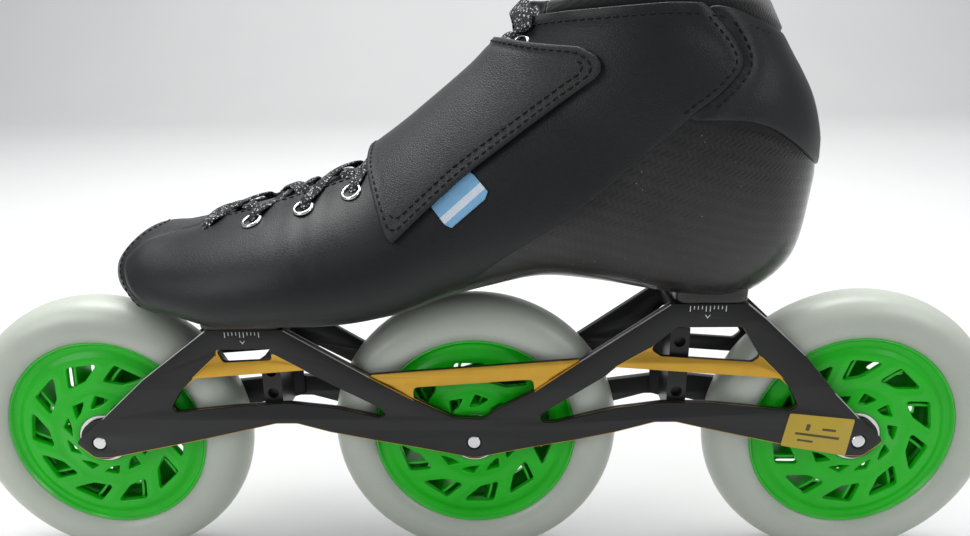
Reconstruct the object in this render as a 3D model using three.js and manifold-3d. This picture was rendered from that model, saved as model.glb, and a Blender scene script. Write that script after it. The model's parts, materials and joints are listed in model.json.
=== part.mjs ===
// Inline speed skate, left foot: low-cut laced boot with a strap flap on a carbon base,
// bolted to a three-wheel truss frame. Millimetres, +Z up, toe towards -X, outer side of the foot towards -Y.
// Origin: on the ground, under the middle wheel's centre.
import * as THREE from "three";
import { mergeVertices } from "three/addons/utils/BufferGeometryUtils.js";
import Module from "manifold-3d";

const wasm = await Module();
wasm.setup();

// ---------------------------------------------------------------- driving dimensions
const WHEEL_R = 62.5; // 125 mm wheels
const WHEEL_HALF_W = 12; // 24 mm wide
const PITCH = 164; // axle to axle
const AXLE_Z = WHEEL_R;
const CORE_R = 44; // outside of the core's rim
const BEARING_R = 11, BEARING_W = 7, BORE_R = 4.25; // 608 bearing
const AXLE_R = 4, AXLE_END_R = 2.9;
const PLATE_OUT = 17, PLATE_IN = 13.5, STRIP_OUT = 16; // side plates, and the recessed tie strips in them
const GAP = 0.3; // between pieces that touch
const FRONT_DECK_Z = 114.7, REAR_DECK_Z = 124.7, DECK_T = 4.5;
const MOUNT_X = 97; // mounting bolts, 194 mm apart
const SHELL_T = 3.2; // boot wall
const FLAP_IN = 2.3, FLAP_OUT = 4.4; // the flap's clearance over the upper, and its outside

// ---------------------------------------------------------------- small helpers
const materials = {
  black: new THREE.MeshStandardMaterial({ color: 0x17181a, roughness: 0.42, metalness: 0.75 }),
  leather: new THREE.MeshStandardMaterial({ color: 0x24272a, roughness: 0.5, metalness: 0 }),
  carbon: new THREE.MeshStandardMaterial({ color: 0x1b1b1c, roughness: 0.3, metalness: 0.1 }),
  fabric: new THREE.MeshStandardMaterial({ color: 0x2b2725, roughness: 0.9, metalness: 0 }),
  lace: new THREE.MeshStandardMaterial({ color: 0x3a3d3f, roughness: 0.9, metalness: 0 }),
  tyre: new THREE.MeshStandardMaterial({ color: 0xd3d5cd, roughness: 0.35, metalness: 0 }),
  core: new THREE.MeshStandardMaterial({ color: 0x18b41c, roughness: 0.35, metalness: 0 }),
  steel: new THREE.MeshStandardMaterial({ color: 0xc9cbcc, roughness: 0.25, metalness: 1 }),
  tab: new THREE.MeshStandardMaterial({ color: 0x6fb4de, roughness: 0.7, metalness: 0 }),
};

// A closed three.js geometry as a manifold solid.
function solid(geometry) {
  const g = geometry.index ? geometry.toNonIndexed() : geometry.clone();
  for (const name of Object.keys(g.attributes)) if (name !== "position") g.deleteAttribute(name);
  const m = mergeVertices(g, 1e-4);
  return new wasm.Manifold(
    new wasm.Mesh({ numProp: 3, vertProperties: m.attributes.position.array, triVerts: new Uint32Array(m.index.array) }),
  );
}
function geometryOf(s) {
  const m = s.getMesh(), n = m.numProp, v = new Float32Array(m.numVert * 3);
  for (let i = 0; i < m.numVert; i++) v.set(m.vertProperties.subarray(i * n, i * n + 3), i * 3);
  const g = new THREE.BufferGeometry().setAttribute("position", new THREE.BufferAttribute(v, 3));
  g.setIndex(new THREE.BufferAttribute(m.triVerts, 1));
  g.computeVertexNormals();
  return g;
}
const biggest = (s) => s.decompose().sort((a, b) => b.volume() - a.volume())[0];
const union = (list) => list.reduce((a, b) => a.add(b));
const V2 = (p) => new THREE.Vector2(p[0], p[1]);

// Outline in x and z, extruded from y0 to y1.
function prismY(points, y0, y1) {
  const g = new THREE.ExtrudeGeometry(new THREE.Shape(points.map(V2)), { depth: y1 - y0, bevelEnabled: false });
  g.rotateX(Math.PI / 2);
  g.translate(0, y1, 0);
  return solid(g);
}
// Outline in x and y, extruded from z0 to z1.
function prismZ(points, z0, z1) {
  const g = new THREE.ExtrudeGeometry(new THREE.Shape(points.map(V2)), { depth: z1 - z0, bevelEnabled: false });
  g.translate(0, 0, z0);
  return solid(g);
}
function box(x0, x1, y0, y1, z0, z1) {
  const g = new THREE.BoxGeometry(x1 - x0, y1 - y0, z1 - z0);
  g.translate((x0 + x1) / 2, (y0 + y1) / 2, (z0 + z1) / 2);
  return solid(g);
}
// Profile of [radius, y] pairs turned about the Y axis, then moved to x, z.
function turned(profile, x, z, segments = 24, phase = 0) {
  const g = new THREE.LatheGeometry(profile.map(V2), segments, phase);
  g.translate(x, 0, z);
  const s = solid(g);
  return s.volume() < 0 ? solid(flip(g)) : s;
}
// The same about a vertical axis at x, y.
function turnedZ(profile, x, y, segments = 12) {
  const g = new THREE.LatheGeometry(profile.map(V2), segments);
  g.rotateX(Math.PI / 2);
  g.translate(x, y, 0);
  const s = solid(g);
  return s.volume() < 0 ? solid(flip(g)) : s;
}
function flip(g) {
  const f = g.index ? g.toNonIndexed() : g.clone(), a = f.attributes.position.array;
  for (let i = 0; i < a.length; i += 9) for (let k = 0; k < 3; k++) [a[i + 3 + k], a[i + 6 + k]] = [a[i + 6 + k], a[i + 3 + k]];
  return f;
}
// Corners of a polygon rounded with a radius each ([x, z, radius]).
function rounded(points, steps = 2) {
  const out = [], n = points.length;
  points.forEach(([x, z, r = 0], i) => {
    if (!r) return void out.push([x, z]);
    const [ax, az] = points[(i + n - 1) % n], [bx, bz] = points[(i + 1) % n];
    let ux = ax - x, uz = az - z, vx = bx - x, vz = bz - z;
    const ul = Math.hypot(ux, uz), vl = Math.hypot(vx, vz);
    ux /= ul; uz /= ul; vx /= vl; vz /= vl;
    const half = Math.acos(Math.max(-1, Math.min(1, ux * vx + uz * vz))) / 2;
    if (half > 1.46) return void out.push([x, z]);
    const d = Math.min(r / Math.tan(half), 0.48 * ul, 0.48 * vl);
    const p0 = [x + ux * d, z + uz * d], p2 = [x + vx * d, z + vz * d];
    for (let k = 0; k <= steps; k++) {
      const t = k / steps, a = (1 - t) * (1 - t), b = 2 * t * (1 - t), c = t * t;
      out.push([a * p0[0] + b * x + c * p2[0], a * p0[1] + b * z + c * p2[1]]);
    }
  });
  return out;
}
// A line of points moved sideways by d (to its left).
function shifted(line, d) {
  return line.map((p, i) => {
    const a = line[Math.max(0, i - 1)], b = line[Math.min(line.length - 1, i + 1)];
    const l = Math.hypot(b[0] - a[0], b[1] - a[1]);
    return [p[0] - ((b[1] - a[1]) / l) * d, p[1] + ((b[0] - a[0]) / l) * d];
  });
}

// ---------------------------------------------------------------- wheels
const tyreProfile = [
  [CORE_R + GAP, -9.3], [49, -12], [54.5, -11.6], [59.2, -8.6], [62.1, -4], [62.5, 0],
  [62.1, 4], [59.2, 8.6], [54.5, 11.6], [49, 12], [CORE_R + GAP, 9.3], [CORE_R + GAP, -9.3],
];
// Half of the core's section, mirrored: bearing seat, web of each side, rim.
const coreProfile = [
  [9.2, -4.6], [BEARING_R + GAP, -4.6], [BEARING_R + GAP, -12], [13.6, -12], [21, -9.2], [36.5, -9.2], [40, -7.6],
  [CORE_R, -9.4], [CORE_R, 9.4], [40, 7.6], [36.5, 9.2], [21, 9.2], [13.6, 12],
  [BEARING_R + GAP, 12], [BEARING_R + GAP, 4.6], [9.2, 4.6], [9.2, -4.6],
];
const coreHollow = [[14.5, -6.4], [38, -6.4], [38, 6.4], [14.5, 6.4], [14.5, -6.4]];
const WINDOW = [[26.4, 0], [34.2, -9], [33.4, -31], [26.6, -17]]; // radius, degrees
const SMALL_WINDOW = [[14.9, 0], [18.8, -8], [17, -26]];
function windows(shape, x, z, turn, y0, y1) {
  return union([...Array(10)].map((_, k) => prismY(
    shape.map(([r, a]) => {
      const t = ((a + k * 36 + turn) * Math.PI) / 180;
      return [x + r * Math.cos(t), z + r * Math.sin(t)];
    }), y0, y1)));
}
function makeWheel(name, x, turn) {
  const core = turned(coreProfile, x, AXLE_Z, 24)
    .subtract(turned(coreHollow, x, AXLE_Z, 12))
    .subtract(windows(WINDOW, x, AXLE_Z, turn, -15, 15))
    .subtract(windows(SMALL_WINDOW, x, AXLE_Z, turn + 20, -15, -6));
  const bearing = (y0) => turned([[BORE_R, y0], [BEARING_R, y0], [BEARING_R, y0 + BEARING_W], [BORE_R, y0 + BEARING_W], [BORE_R, y0]], x, AXLE_Z, 16);
  return {
    [name + "_tyre"]: [turned(tyreProfile, x, AXLE_Z, 36), "tyre"],
    [name + "_core"]: [core, "core"],
    [name + "_bearing_left"]: [bearing(-12), "steel"],
    [name + "_bearing_right"]: [bearing(5), "steel"],
    [name + "_bearing_spacer"]: [turned([[BORE_R, -4.7], [6.4, -4.7], [6.4, 4.7], [BORE_R, 4.7], [BORE_R, -4.7]], x, AXLE_Z, 12), "steel"],
    [name + "_axle_bolt"]: [
      turned([[0, -PLATE_OUT], [AXLE_END_R, -PLATE_OUT], [AXLE_END_R, -13.2], [AXLE_R, -12.6], [AXLE_R, PLATE_OUT + GAP], [6, PLATE_OUT + GAP], [6, 18.9], [4.9, 19.9], [2.2, 19.9], [2.2, 17.6], [0, 17.6]], x, AXLE_Z, 12),
      "steel"],
  };
}

// ---------------------------------------------------------------- frame
// Outline of one side plate, front half to rear half, clockwise from the front tip.
const plateOutline = rounded([
  [-174.6, 62.4, 2.5], [-170.2, 66.6, 3], [-160.6, 74.4, 4], [-140, 92.8], [-110.8, 114.4, 3], [-106, FRONT_DECK_Z, 1], [-78.2, FRONT_DECK_Z, 2],
  [-43, 93.3, 1], [-43, 94], [44.2, 100.4], [44.6, 99.8, 1], [80.6, REAR_DECK_Z, 2], [111.6, REAR_DECK_Z, 2], [119.8, 118, 3], [137, 102.2], [151.4, 85.2],
  [162.8, 73.6, 4], [170.6, 66.8, 3], [174.6, 62.6, 2.5], [166.4, 55.3, 4], [158.6, 55.6, 3], [130.7, 61.4], [98.6, 68.8, 8], [86, 71.9, 6], [77, 71.9, 6], [60, 67.1, 8],
  [42.9, 63.4], [22.9, 59.7], [0, 54.9, 5], [-22.9, 59.7], [-42.9, 63.6], [-62, 67.6, 8], [-76, 71.7, 6], [-85, 71.7, 6], [-96.5, 69, 8], [-121.4, 63.3], [-150, 57.3],
  [-160, 55.2, 3], [-167.2, 55.2, 4],
]);
const frontLowerOpening = rounded([[-124.6, 87, 1.2], [-129.4, 79.6, 2], [-127.6, 77.2, 2], [-96.4, 80.4, 10], [-78.6, 81.4, 20], [-58.6, 79], [-40, 74.4, 2], [-37, 76, 2], [-40.4, 79.4, 1.5], [-56.4, 88], [-71, 96.1, 1], [-117.9, 92.6, 0.6]]);
const frontSlot = rounded([[-107.4, 105.8, 1.6], [-84.4, 106.4, 1.6], [-84.2, 100.9, 1.6], [-105, 99.9, 2.2]]);
const middleOpening = rounded([[-25.4, 88, 2.4], [-25.2, 83.2], [-8.6, 74.4, 3], [4.4, 73.6, 3], [9, 77.6, 2], [25.8, 86.6], [25.4, 91.4, 2.4], [21, 91.2]]);
const rearLowerOpening = rounded([[28.4, 75.6, 2], [28.8, 72.2, 2], [34.4, 72, 3], [60, 78.4], [80, 81.1, 20], [98, 80.9, 10], [132.9, 77.1, 2], [136.6, 79, 2], [132, 87.6, 2], [127.9, 91.4, 0.8], [60, 96.8, 0.8], [55.7, 93.4]]);
const rearUpperOpening = rounded([[83.6, 114.5, 2.2], [110.4, 114.5, 2.2], [118.8, 101.4, 1.5], [115.6, 98.9, 2.2], [78, 101.8, 2.5], [73.4, 105, 2]]);
// The tie strips lie between these pairs of openings; their outside is set back in a pocket.
const frontStrip = [[-107.6, 102.8], [-105, 99.6], [-84.2, 100.6], [-82.8, 103.4], [-70.6, 96.2], [-71, 95.6], [-117.9, 92.2], [-118.4, 93]];
const middleStrip = [[-43.6, 93.5], [44.6, 100], [25.8, 86.2], [25.4, 91.8], [-25.4, 88.4], [-25.2, 82.8]];
const rearStrip = [[73.2, 105.4], [78, 101.4], [115.6, 98.5], [118.8, 101.6], [128.6, 91.8], [127.9, 91], [60, 96.4], [59.4, 97.1]];
const topPocket = [[-41, 94.1], [43.5, 100.4], [43.5, 103], [-41, 97]];

function makePlate(side) {
  const ys = (a, b) => (side < 0 ? [-b, -a] : [a, b]);
  const holes = [frontLowerOpening, frontSlot, middleOpening, rearLowerOpening, rearUpperOpening];
  let plate = prismY(plateOutline, ...ys(PLATE_IN, PLATE_OUT));
  for (const hole of holes) plate = plate.subtract(prismY(hole, ...ys(PLATE_IN - 1, PLATE_OUT + 1)));
  for (const strip of [frontStrip, middleStrip, rearStrip]) plate = plate.subtract(prismY(strip, ...ys(STRIP_OUT, PLATE_OUT + 1)));
  for (const x of [-PITCH, 0, PITCH]) {
    // boss that meets the bearing's inner ring, and the axle hole: threaded on the left, clearance on the right
    plate = plate.add(turned([[0, side * 12.3], [7, side * 12.3], [8, side * (PLATE_IN + 0.5)], [0, side * (PLATE_IN + 0.5)]], x, AXLE_Z, 12));
    const r = side < 0 ? AXLE_END_R + 0.25 : AXLE_R + 0.25;
    plate = plate.subtract(turned([[0, -25], [r, -25], [r, 25], [0, 25]], x, AXLE_Z, 12));
    if (side < 0) plate = plate.subtract(turned([[0, -13.6], [AXLE_R + 0.25, -12.9], [AXLE_R + 0.25, 0], [0, 0]], x, AXLE_Z, 12));
  }
  return biggest(plate);
}
function makeDeck(x0, x1, top) {
  const s = Math.sign(x0 + x1) * MOUNT_X;
  const slot = rounded([[s - 7, -3.4, 3.3], [s + 7, -3.4, 3.3], [s + 7, 3.4, 3.3], [s - 7, 3.4, 3.3]], 4);
  return box(x0, x1, -PLATE_IN + GAP, PLATE_IN - GAP, top - DECK_T, top).subtract(prismZ(slot, top - 10, top + 5));
}
function makeWeb(x, top) {
  const w = PLATE_IN - GAP;
  const outline = [[x - 4, -w], [x + 4, -w], [x + 3, -w + 4], [x + 3, w - 4], [x + 7, w - 1], [x + 7, w], [x - 7, w], [x - 7, w - 1], [x - 3, w - 4], [x - 3, -w + 4]];
  let web = prismZ(outline, 73, top);
  for (const z of [84.6, top - 6]) web = web.subtract(turned([[0, -w - 1], [2.4, -w - 1], [2.4, -w + 3], [0, -w + 3]], x, z, 12));
  return web;
}

// ---------------------------------------------------------------- boot surface
// Stations from the toe to the collar. Each is a section through the top point (x, z), the bottom point (x, z), with
// half widths to the outer and inner side, the centre's y, the height of the widest point, and the roundness of the upper and lower half.
const stations = [
  [-149.3, 141.6, -149.3, 135.6, 8, 8, 8, 0.5, 2, 1.912],
  [-141.0, 149.3, -141.2, 128.9, 26.0, 23.0, 7.6, 0.45, 2, 1.983],
  [-135.0, 153.3, -135.2, 125.1, 33.5, 29.0, 6.8, 0.42, 2, 2.088],
  [-128.6, 155.0, -128.6, 122.3, 39.0, 34.0, 5.6, 0.4, 2.05, 2.255],
  [-115.6, 156.7, -115.6, 121.5, 44.0, 39.0, 4, 0.38, 2.05, 2.24],
  [-96.1, 162.5, -96.1, 118.6, 48.2, 45.2, 1.8, 0.36, 1.97, 2.587],
  [-71.8, 169.9, -71.8, 119.2, 49.2, 48.4, 0.4, 0.35, 1.9, 2.613],
  [-57.5, 174.6, -56.0, 118.9, 47.6, 48.0, 0, 0.34, 1.85, 2.662],
  [-46.0, 179.0, -41.0, 119.7, 45.2, 46.0, 0, 0.34, 1.8, 2.615],
  [-35.0, 185.0, -26.0, 122.4, 42.6, 43.0, 0, 0.34, 1.8, 2.637],
  [-24.0, 192.4, -9, 127.6, 40.4, 40.0, 0, 0.35, 1.85, 2.44],
  [-13.0, 200.8, 9, 131.9, 38.6, 38.0, 0, 0.36, 1.85, 2.425],
  [-3, 208.6, 29.4, 135.3, 37.4, 37.0, 0, 0.38, 1.9, 2.4],
  [5, 215.2, 51.4, 132.9, 36.8, 36.8, 0, 0.42, 1.95, 2.4],
  [11.0, 221.2, 75.1, 128.5, 36.6, 36.8, 0, 0.46, 2, 2.5],
  [15.4, 226.4, 96.3, 125.2, 36.6, 37.0, 0, 0.5, 2, 2.5],
  [18.4, 230.2, 113.2, 126.5, 37.0, 37.4, 0, 0.52, 2.05, 2.3],
  [21.0, 233.6, 129.9, 141.8, 37.8, 38.0, 0, 0.53, 2.1, 2.2],
  [23.4, 237.6, 135.0, 169.0, 38.2, 38.2, 0, 0.53, 2.1, 2.1],
  [24.2, 240.0, 134.8, 184.6, 38.0, 38.0, 0, 0.52, 2.15, 2.1],
  [24.8, 243.0, 130.3, 201.2, 37.4, 37.4, 0, 0.52, 2.15, 2.1],
  [25.2, 247.0, 121.8, 216.4, 36.4, 36.4, 0, 0.52, 2.2, 2.1],
  [26.0, 258.0, 106.7, 243.0, 35.4, 35.4, 0, 0.52, 2.2, 2.1],
];
const AROUND = 20;
function ringOf([tx, tz, bx, bz, wl, wm, yc, hm, nu, nl]) {
  return [...Array(AROUND)].map((_, k) => {
    const a = (k / AROUND) * 2 * Math.PI, s = Math.sin(a), c = Math.cos(a);
    const n = s >= 0 ? nu : nl, e = Math.pow(Math.abs(s), 2 / n), f = Math.pow(Math.abs(c), 2 / n);
    const h = s >= 0 ? hm + (1 - hm) * e : hm - hm * e;
    return new THREE.Vector3(bx + (tx - bx) * h, yc + (c < 0 ? -wl : wm) * f, bz + (tz - bz) * h);
  });
}
const rings = stations.map(ringOf);
const tip = new THREE.Vector3(-149.8, 8, 138.6);
// Outward directions at each point of the grid.
const normals = rings.map((ring, i) => ring.map((p, k) => {
  const along = new THREE.Vector3().subVectors(rings[Math.min(i + 1, rings.length - 1)][k], i ? rings[i - 1][k] : tip);
  const around = new THREE.Vector3().subVectors(ring[(k + 1) % AROUND], ring[(k + AROUND - 1) % AROUND]);
  return new THREE.Vector3().crossVectors(around, along).normalize();
}));
// The boot's outside, moved outwards by d, as one closed body.
function boot(d) {
  const g = new THREE.BufferGeometry(), v = [], idx = [];
  const put = (p) => v.push(p.x, p.y, p.z);
  rings.forEach((ring, i) => ring.forEach((p, k) => put(p.clone().addScaledVector(normals[i][k], d))));
  const n = rings.length;
  put(tip.clone().add(new THREE.Vector3(-d, 0, 0)));
  const last = rings[n - 1].reduce((a, p) => a.add(p), new THREE.Vector3()).divideScalar(AROUND);
  put(last);
  const at = (i, k) => i * AROUND + ((k + AROUND) % AROUND);
  for (let k = 0; k < AROUND; k++) {
    idx.push(n * AROUND, at(0, k + 1), at(0, k));
    idx.push(n * AROUND + 1, at(n - 1, k), at(n - 1, k + 1));
    for (let i = 0; i + 1 < n; i++) idx.push(at(i, k), at(i, k + 1), at(i + 1, k + 1), at(i, k), at(i + 1, k + 1), at(i + 1, k));
  }
  g.setAttribute("position", new THREE.BufferAttribute(new Float32Array(v), 3));
  g.setIndex(idx);
  const s = solid(g);
  return s.volume() < 0 ? solid(flip(g)) : s;
}
const layer = (outer, inner) => boot(outer).subtract(boot(inner));

// ---------------------------------------------------------------- boot pieces, as outlines in x and z unless said otherwise
const SOLE_EDGE = [
  [-156, 137.2], [-146, 132], [-136, 128.2], [-120, 124.8], [-100, 122.4], [-60, 122.4], [-42, 123.4], [-28, 126.8], [-14, 132], [-0.3, 138.3], [13.6, 149.4],
  [35.1, 162.6], [49.5, 173.3], [65.2, 187.9], [78, 198], [88, 197.8], [99.5, 197.4], [109.3, 194.3], [118.6, 188.7], [127.7, 182.2], [148, 170],
];
const TOE_SEAM = [[-96, 170], [-98.5, 162.8], [-106.4, 158.4], [-119.3, 155.1], [-130.5, 152.3], [-136.9, 147], [-136.9, 142.6], [-132.9, 137.1], [-126.4, 132], [-118, 126], [-112, 116]];
const ANKLE_SEAM = [[81.9, 262], [81.9, 235], [88.8, 229.4], [94.4, 222.8], [97, 216.1], [92.6, 210.7], [86.9, 205.2], [79, 199.8], [73.5, 194]];
const COLLAR_EDGE = [[-170, 230], [0, 230], [20, 232.6], [31.8, 234.3], [50, 235.4], [70.7, 236.6], [82, 236], [94, 233.6], [104, 230], [125, 222], [150, 214]];
const RIM_EDGE = [[0, 238], [30, 239.4], [60, 241.2], [85, 240.4], [130, 236.6]];
const FOOTBED = [
  [-150, 139.5], [-144, 135.4], [-136, 131.4], [-118, 127.4], [-96, 125.8], [-72, 125.4], [-41, 125.8], [-33, 126.9], [-26, 129.8], [-9, 135.4], [9, 140.4], [29, 145], [52, 143.4],
  [76, 137], [98, 132.8], [112, 134], [124, 140], [136, 150],
];
const FLAP = [
  [-27.6, 154.8], [-30, 159.4], [-34.5, 171.9], [-37.1, 179], [-37.6, 186], [-40, 205], [-10, 240], [6, 229], [10.5, 224.6], [25.6, 223.2], [41.4, 222.6],
  [46.5, 219.9], [48.5, 216.2], [46.9, 212.7], [30.4, 200.4], [15, 189.3], [-0.9, 177.9], [-14.1, 166.8],
];
const THROAT = [[-100, -8], [-90, -13], [-44, -13.5], [0, -11], [40, -9.5], [40, 9.5], [0, 11], [-44, 13.5], [-90, 14.5], [-100, 11]]; // seen from above
// Rows of eyelets, toe to collar: x, outer side's y, inner side's y.
const ROWS = [[-102.9, -19, 21], [-82.5, -25.4, 26], [-62, -26.4, 27], [-43.7, -24.3, 24.6], [-27.5, -22, 22], [-12, -20, 20], [4, -18, 18], [20.5, -15.6, 15.6]];

const below = (line, z = 60) => prismY([...line, [line.at(-1)[0], z], [line[0][0], z]], -70, 70);
const above = (line, z = 300) => prismY([...line, [line.at(-1)[0], z], [line[0][0], z]], -70, 70);
const WALL = layer(0, -SHELL_T);
const baseZone = below(SOLE_EDGE), upperZone = above(shifted(SOLE_EDGE, GAP));
const underCollar = below(COLLAR_EDGE);
const toeZone = prismY([...TOE_SEAM, [-170, 116], [-170, 190], [-96, 190]], -70, 70);
const behindToe = prismY([...shifted(TOE_SEAM, GAP), [170, 116], [170, 170]], -70, 70).add(box(-96 + GAP, 170, -70, 70, 165, 300));
const heelZone = prismY([...ANKLE_SEAM, [170, 150], [170, 262]], -70, 70);
const beforeHeel = prismY([...shifted(ANKLE_SEAM, -GAP), [-170, 190], [-170, 262]], -70, 70).add(box(-170, 73.2, -70, 70, 100, 262));
const throat = prismZ(THROAT, 140, 280);

// Flat pads under the ball and the heel, where the frame bolts on.
const pad = (x0, x1, z0, z1) => box(x0, x1, -18, 18, z0, z1).subtract(boot(-SHELL_T));
const hole = (x, r, z0, z1) => turnedZ([[0, z0], [r, z0], [r, z1], [0, z1]], x, 0);
const CUP_Z = 150; // the moulded base is made in two pieces that meet at this height
// Flat-sided pockets inside, where the ball of the foot and the heel sit.
const ballPocket = box(-112.4, -33.6, -28.4, 28.4, 126.6, 144.4), heelPocket = box(47.6, 114.5, -23.5, 23.5, 149.5, 260);
const heelCup = biggest(WALL.intersect(baseZone).intersect(box(-40, 200, -90, 90, CUP_Z + GAP / 2, 260)).subtract(heelPocket));
let bootShell = WALL.intersect(baseZone).intersect(box(-200, 200, -90, 90, 60, CUP_Z - GAP / 2)).add(pad(-113, -78, FRONT_DECK_Z + GAP, 122)).add(pad(82, 112, REAR_DECK_Z + GAP, 131));
bootShell = biggest(bootShell.subtract(hole(-MOUNT_X, 6.3, 110, 119.2)).subtract(hole(MOUNT_X, 6.3, 120, 133)));

const upper = WALL.intersect(upperZone).intersect(underCollar);
const quarters = upper.intersect(behindToe).intersect(beforeHeel).subtract(throat).subtract(ballPocket);
const half = (side) => biggest(quarters.intersect(side < 0 ? box(-170, 170, -70, 0, 90, 300) : box(-170, 170, 0, 70, 90, 300)));
const toeCap = biggest(upper.intersect(toeZone));
const heelCuff = biggest(upper.intersect(heelZone));
const insole = biggest(boot(-SHELL_T - GAP).intersect(below(FOOTBED)).subtract(ballPocket));
const tongueZone = prismY([[-112, 150], [-60, 156], [-30, 168], [0, 190], [14, 206], [48, 215], [48, 240.5], [12, 239], [-20, 232], [-112, 190]], -70, 70);
const tongue = biggest(layer(-SHELL_T - GAP, -SHELL_T - 3).intersect(tongueZone).intersect(prismZ([[-112, -20], [-44, -22], [0, -18], [24, -12.5], [46, -12.5], [46, 12.5], [24, 12.5], [0, 18], [-44, 22], [-112, 22]], 140, 280)));
const collarZone = prismY([...RIM_EDGE, [140, 200], [112, 200], [70, 198], [50, 204], [30, 214], [20, 222]], -70, 70);
const collarPadding = biggest(layer(-SHELL_T - GAP, -SHELL_T - 5).intersect(collarZone).subtract(box(0, 96.4, -16.4, 16.4, 150, 280)));

// Eyelet rings lie on the upper; the laces pass over them and cross over the tongue.
const onSurface = (x, y) => {
  let best = null;
  for (let i = 0; i + 1 < rings.length; i++) for (let k = 0; k < AROUND / 2; k++) {
    for (const t of [0, 0.25, 0.5, 0.75]) for (const u of [0, 0.25, 0.5, 0.75]) {
      const p = rings[i][k].clone().lerp(rings[i][k + 1], u).lerp(rings[i + 1][k].clone().lerp(rings[i + 1][k + 1], u), t);
      const d = Math.hypot(p.x - x, p.y - y);
      if (p.z > 150 && (!best || d < best.d)) best = { d, p, n: normals[i][k].clone().lerp(normals[i + 1][k + 1], 0.5).normalize() };
    }
  }
  return best;
};
function eyelet(x, y) {
  const { p, n } = onSurface(x, y);
  const g = new THREE.LatheGeometry([[2.3, -3], [4, -3], [4, 3], [2.3, 3], [2.3, -3]].map(V2), 8);
  g.applyQuaternion(new THREE.Quaternion().setFromUnitVectors(new THREE.Vector3(0, 1, 0), n));
  g.translate(p.x, p.y, p.z);
  const ring = solid(g).volume() < 0 ? solid(flip(g)) : solid(g);
  return biggest(ring.intersect(RING_LAYER));
}
const RING_LAYER = layer(1, GAP);
const strip = (ax, ay, bx, by, w = 5) => {
  const l = Math.hypot(bx - ax, by - ay), nx = ((-(by - ay)) / l) * (w / 2), ny = ((bx - ax) / l) * (w / 2), ex = (bx - ax) / l, ey = (by - ay) / l;
  return prismZ([[ax + nx - ex, ay + ny - ey], [ax - nx - ex, ay - ny - ey], [bx - nx + ex, by - ny + ey], [bx + nx + ex, by + ny + ey]], 145, 290);
};
const laceStrips = [strip(ROWS[0][0], ROWS[0][1], ROWS[0][0], ROWS[0][2])];
for (let i = 0; i + 1 < ROWS.length; i++) {
  const a = ROWS[i], b = ROWS[i + 1];
  laceStrips.push(strip(a[0], a[1], b[0], b[2]), strip(a[0], a[2], b[0], b[1]));
}
laceStrips.push(strip(ROWS[7][0], ROWS[7][1], ROWS[7][0], ROWS[7][2]));
const laces = biggest(layer(2.1, 1.3).intersect(union(laceStrips)).intersect(box(-170, 26, -70, 70, 150, 223.4)));

// The flap is hinged along its inner edge, where a sewn strip holds it.
const HINGE_K = 2.1;
const between = (grid, i) => grid[i][Math.floor(HINGE_K)].clone().lerp(grid[i][Math.ceil(HINGE_K)], HINGE_K % 1);
const hingeA = between(rings, 9).addScaledVector(between(normals, 9), FLAP_OUT), hingeB = between(rings, 13).addScaledVector(between(normals, 13), FLAP_OUT);
const hingeDir = new THREE.Vector3().subVectors(hingeB, hingeA).normalize();
const hingeOut = between(normals, 11).addScaledVector(hingeDir, -between(normals, 11).dot(hingeDir)).normalize();
const hingeDown = new THREE.Vector3().crossVectors(hingeDir, hingeOut);
if (hingeDown.z > 0) hingeDown.negate();
function beyondHinge(t0, t1) {
  const g = new THREE.BoxGeometry(200, 60, t1 - t0);
  g.translate(0, 0, (t0 + t1) / 2);
  const side = new THREE.Vector3().crossVectors(hingeDir, hingeOut);
  g.applyMatrix4(new THREE.Matrix4().makeBasis(hingeDir, hingeOut, side).scale(new THREE.Vector3(1, 1, side.dot(hingeDown) > 0 ? 1 : -1)).setPosition(hingeA.clone().lerp(hingeB, 0.5)));
  const s = solid(g);
  return s.volume() < 0 ? solid(flip(g)) : s;
}
const flapZone = prismY(FLAP, -70, 70);
const closureFlap = biggest(layer(FLAP_OUT, FLAP_IN).intersect(flapZone).subtract(beyondHinge(0, 90)));
const flapAnchor = biggest(layer(2, GAP).intersect(flapZone).intersect(beyondHinge(3, 24)).intersect(box(-70, 33, 0, 70, 90, 260)));
const flapTab = biggest(layer(1.9, GAP).intersect(prismY([[3.4, 179.1], [8.9, 172.8], [-6.4, 160.5], [-13.5, 169.5], [1.4, 181.4]], -70, 0)));

const path = new THREE.CatmullRomCurve3([[21, -16, 228.4], [21, -12, 234.8], [19.6, -5, 237.6], [19.4, 3, 238], [20.2, 11.6, 235.2], [20.6, 16.4, 228.6]].map((p) => new THREE.Vector3(...p)));
const laceTop = solid(new THREE.ExtrudeGeometry(new THREE.Shape([[-1, -2.6], [1, -2.6], [1, 2.6], [-1, 2.6]].map(V2)), { steps: 10, bevelEnabled: false, extrudePath: path }));

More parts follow.
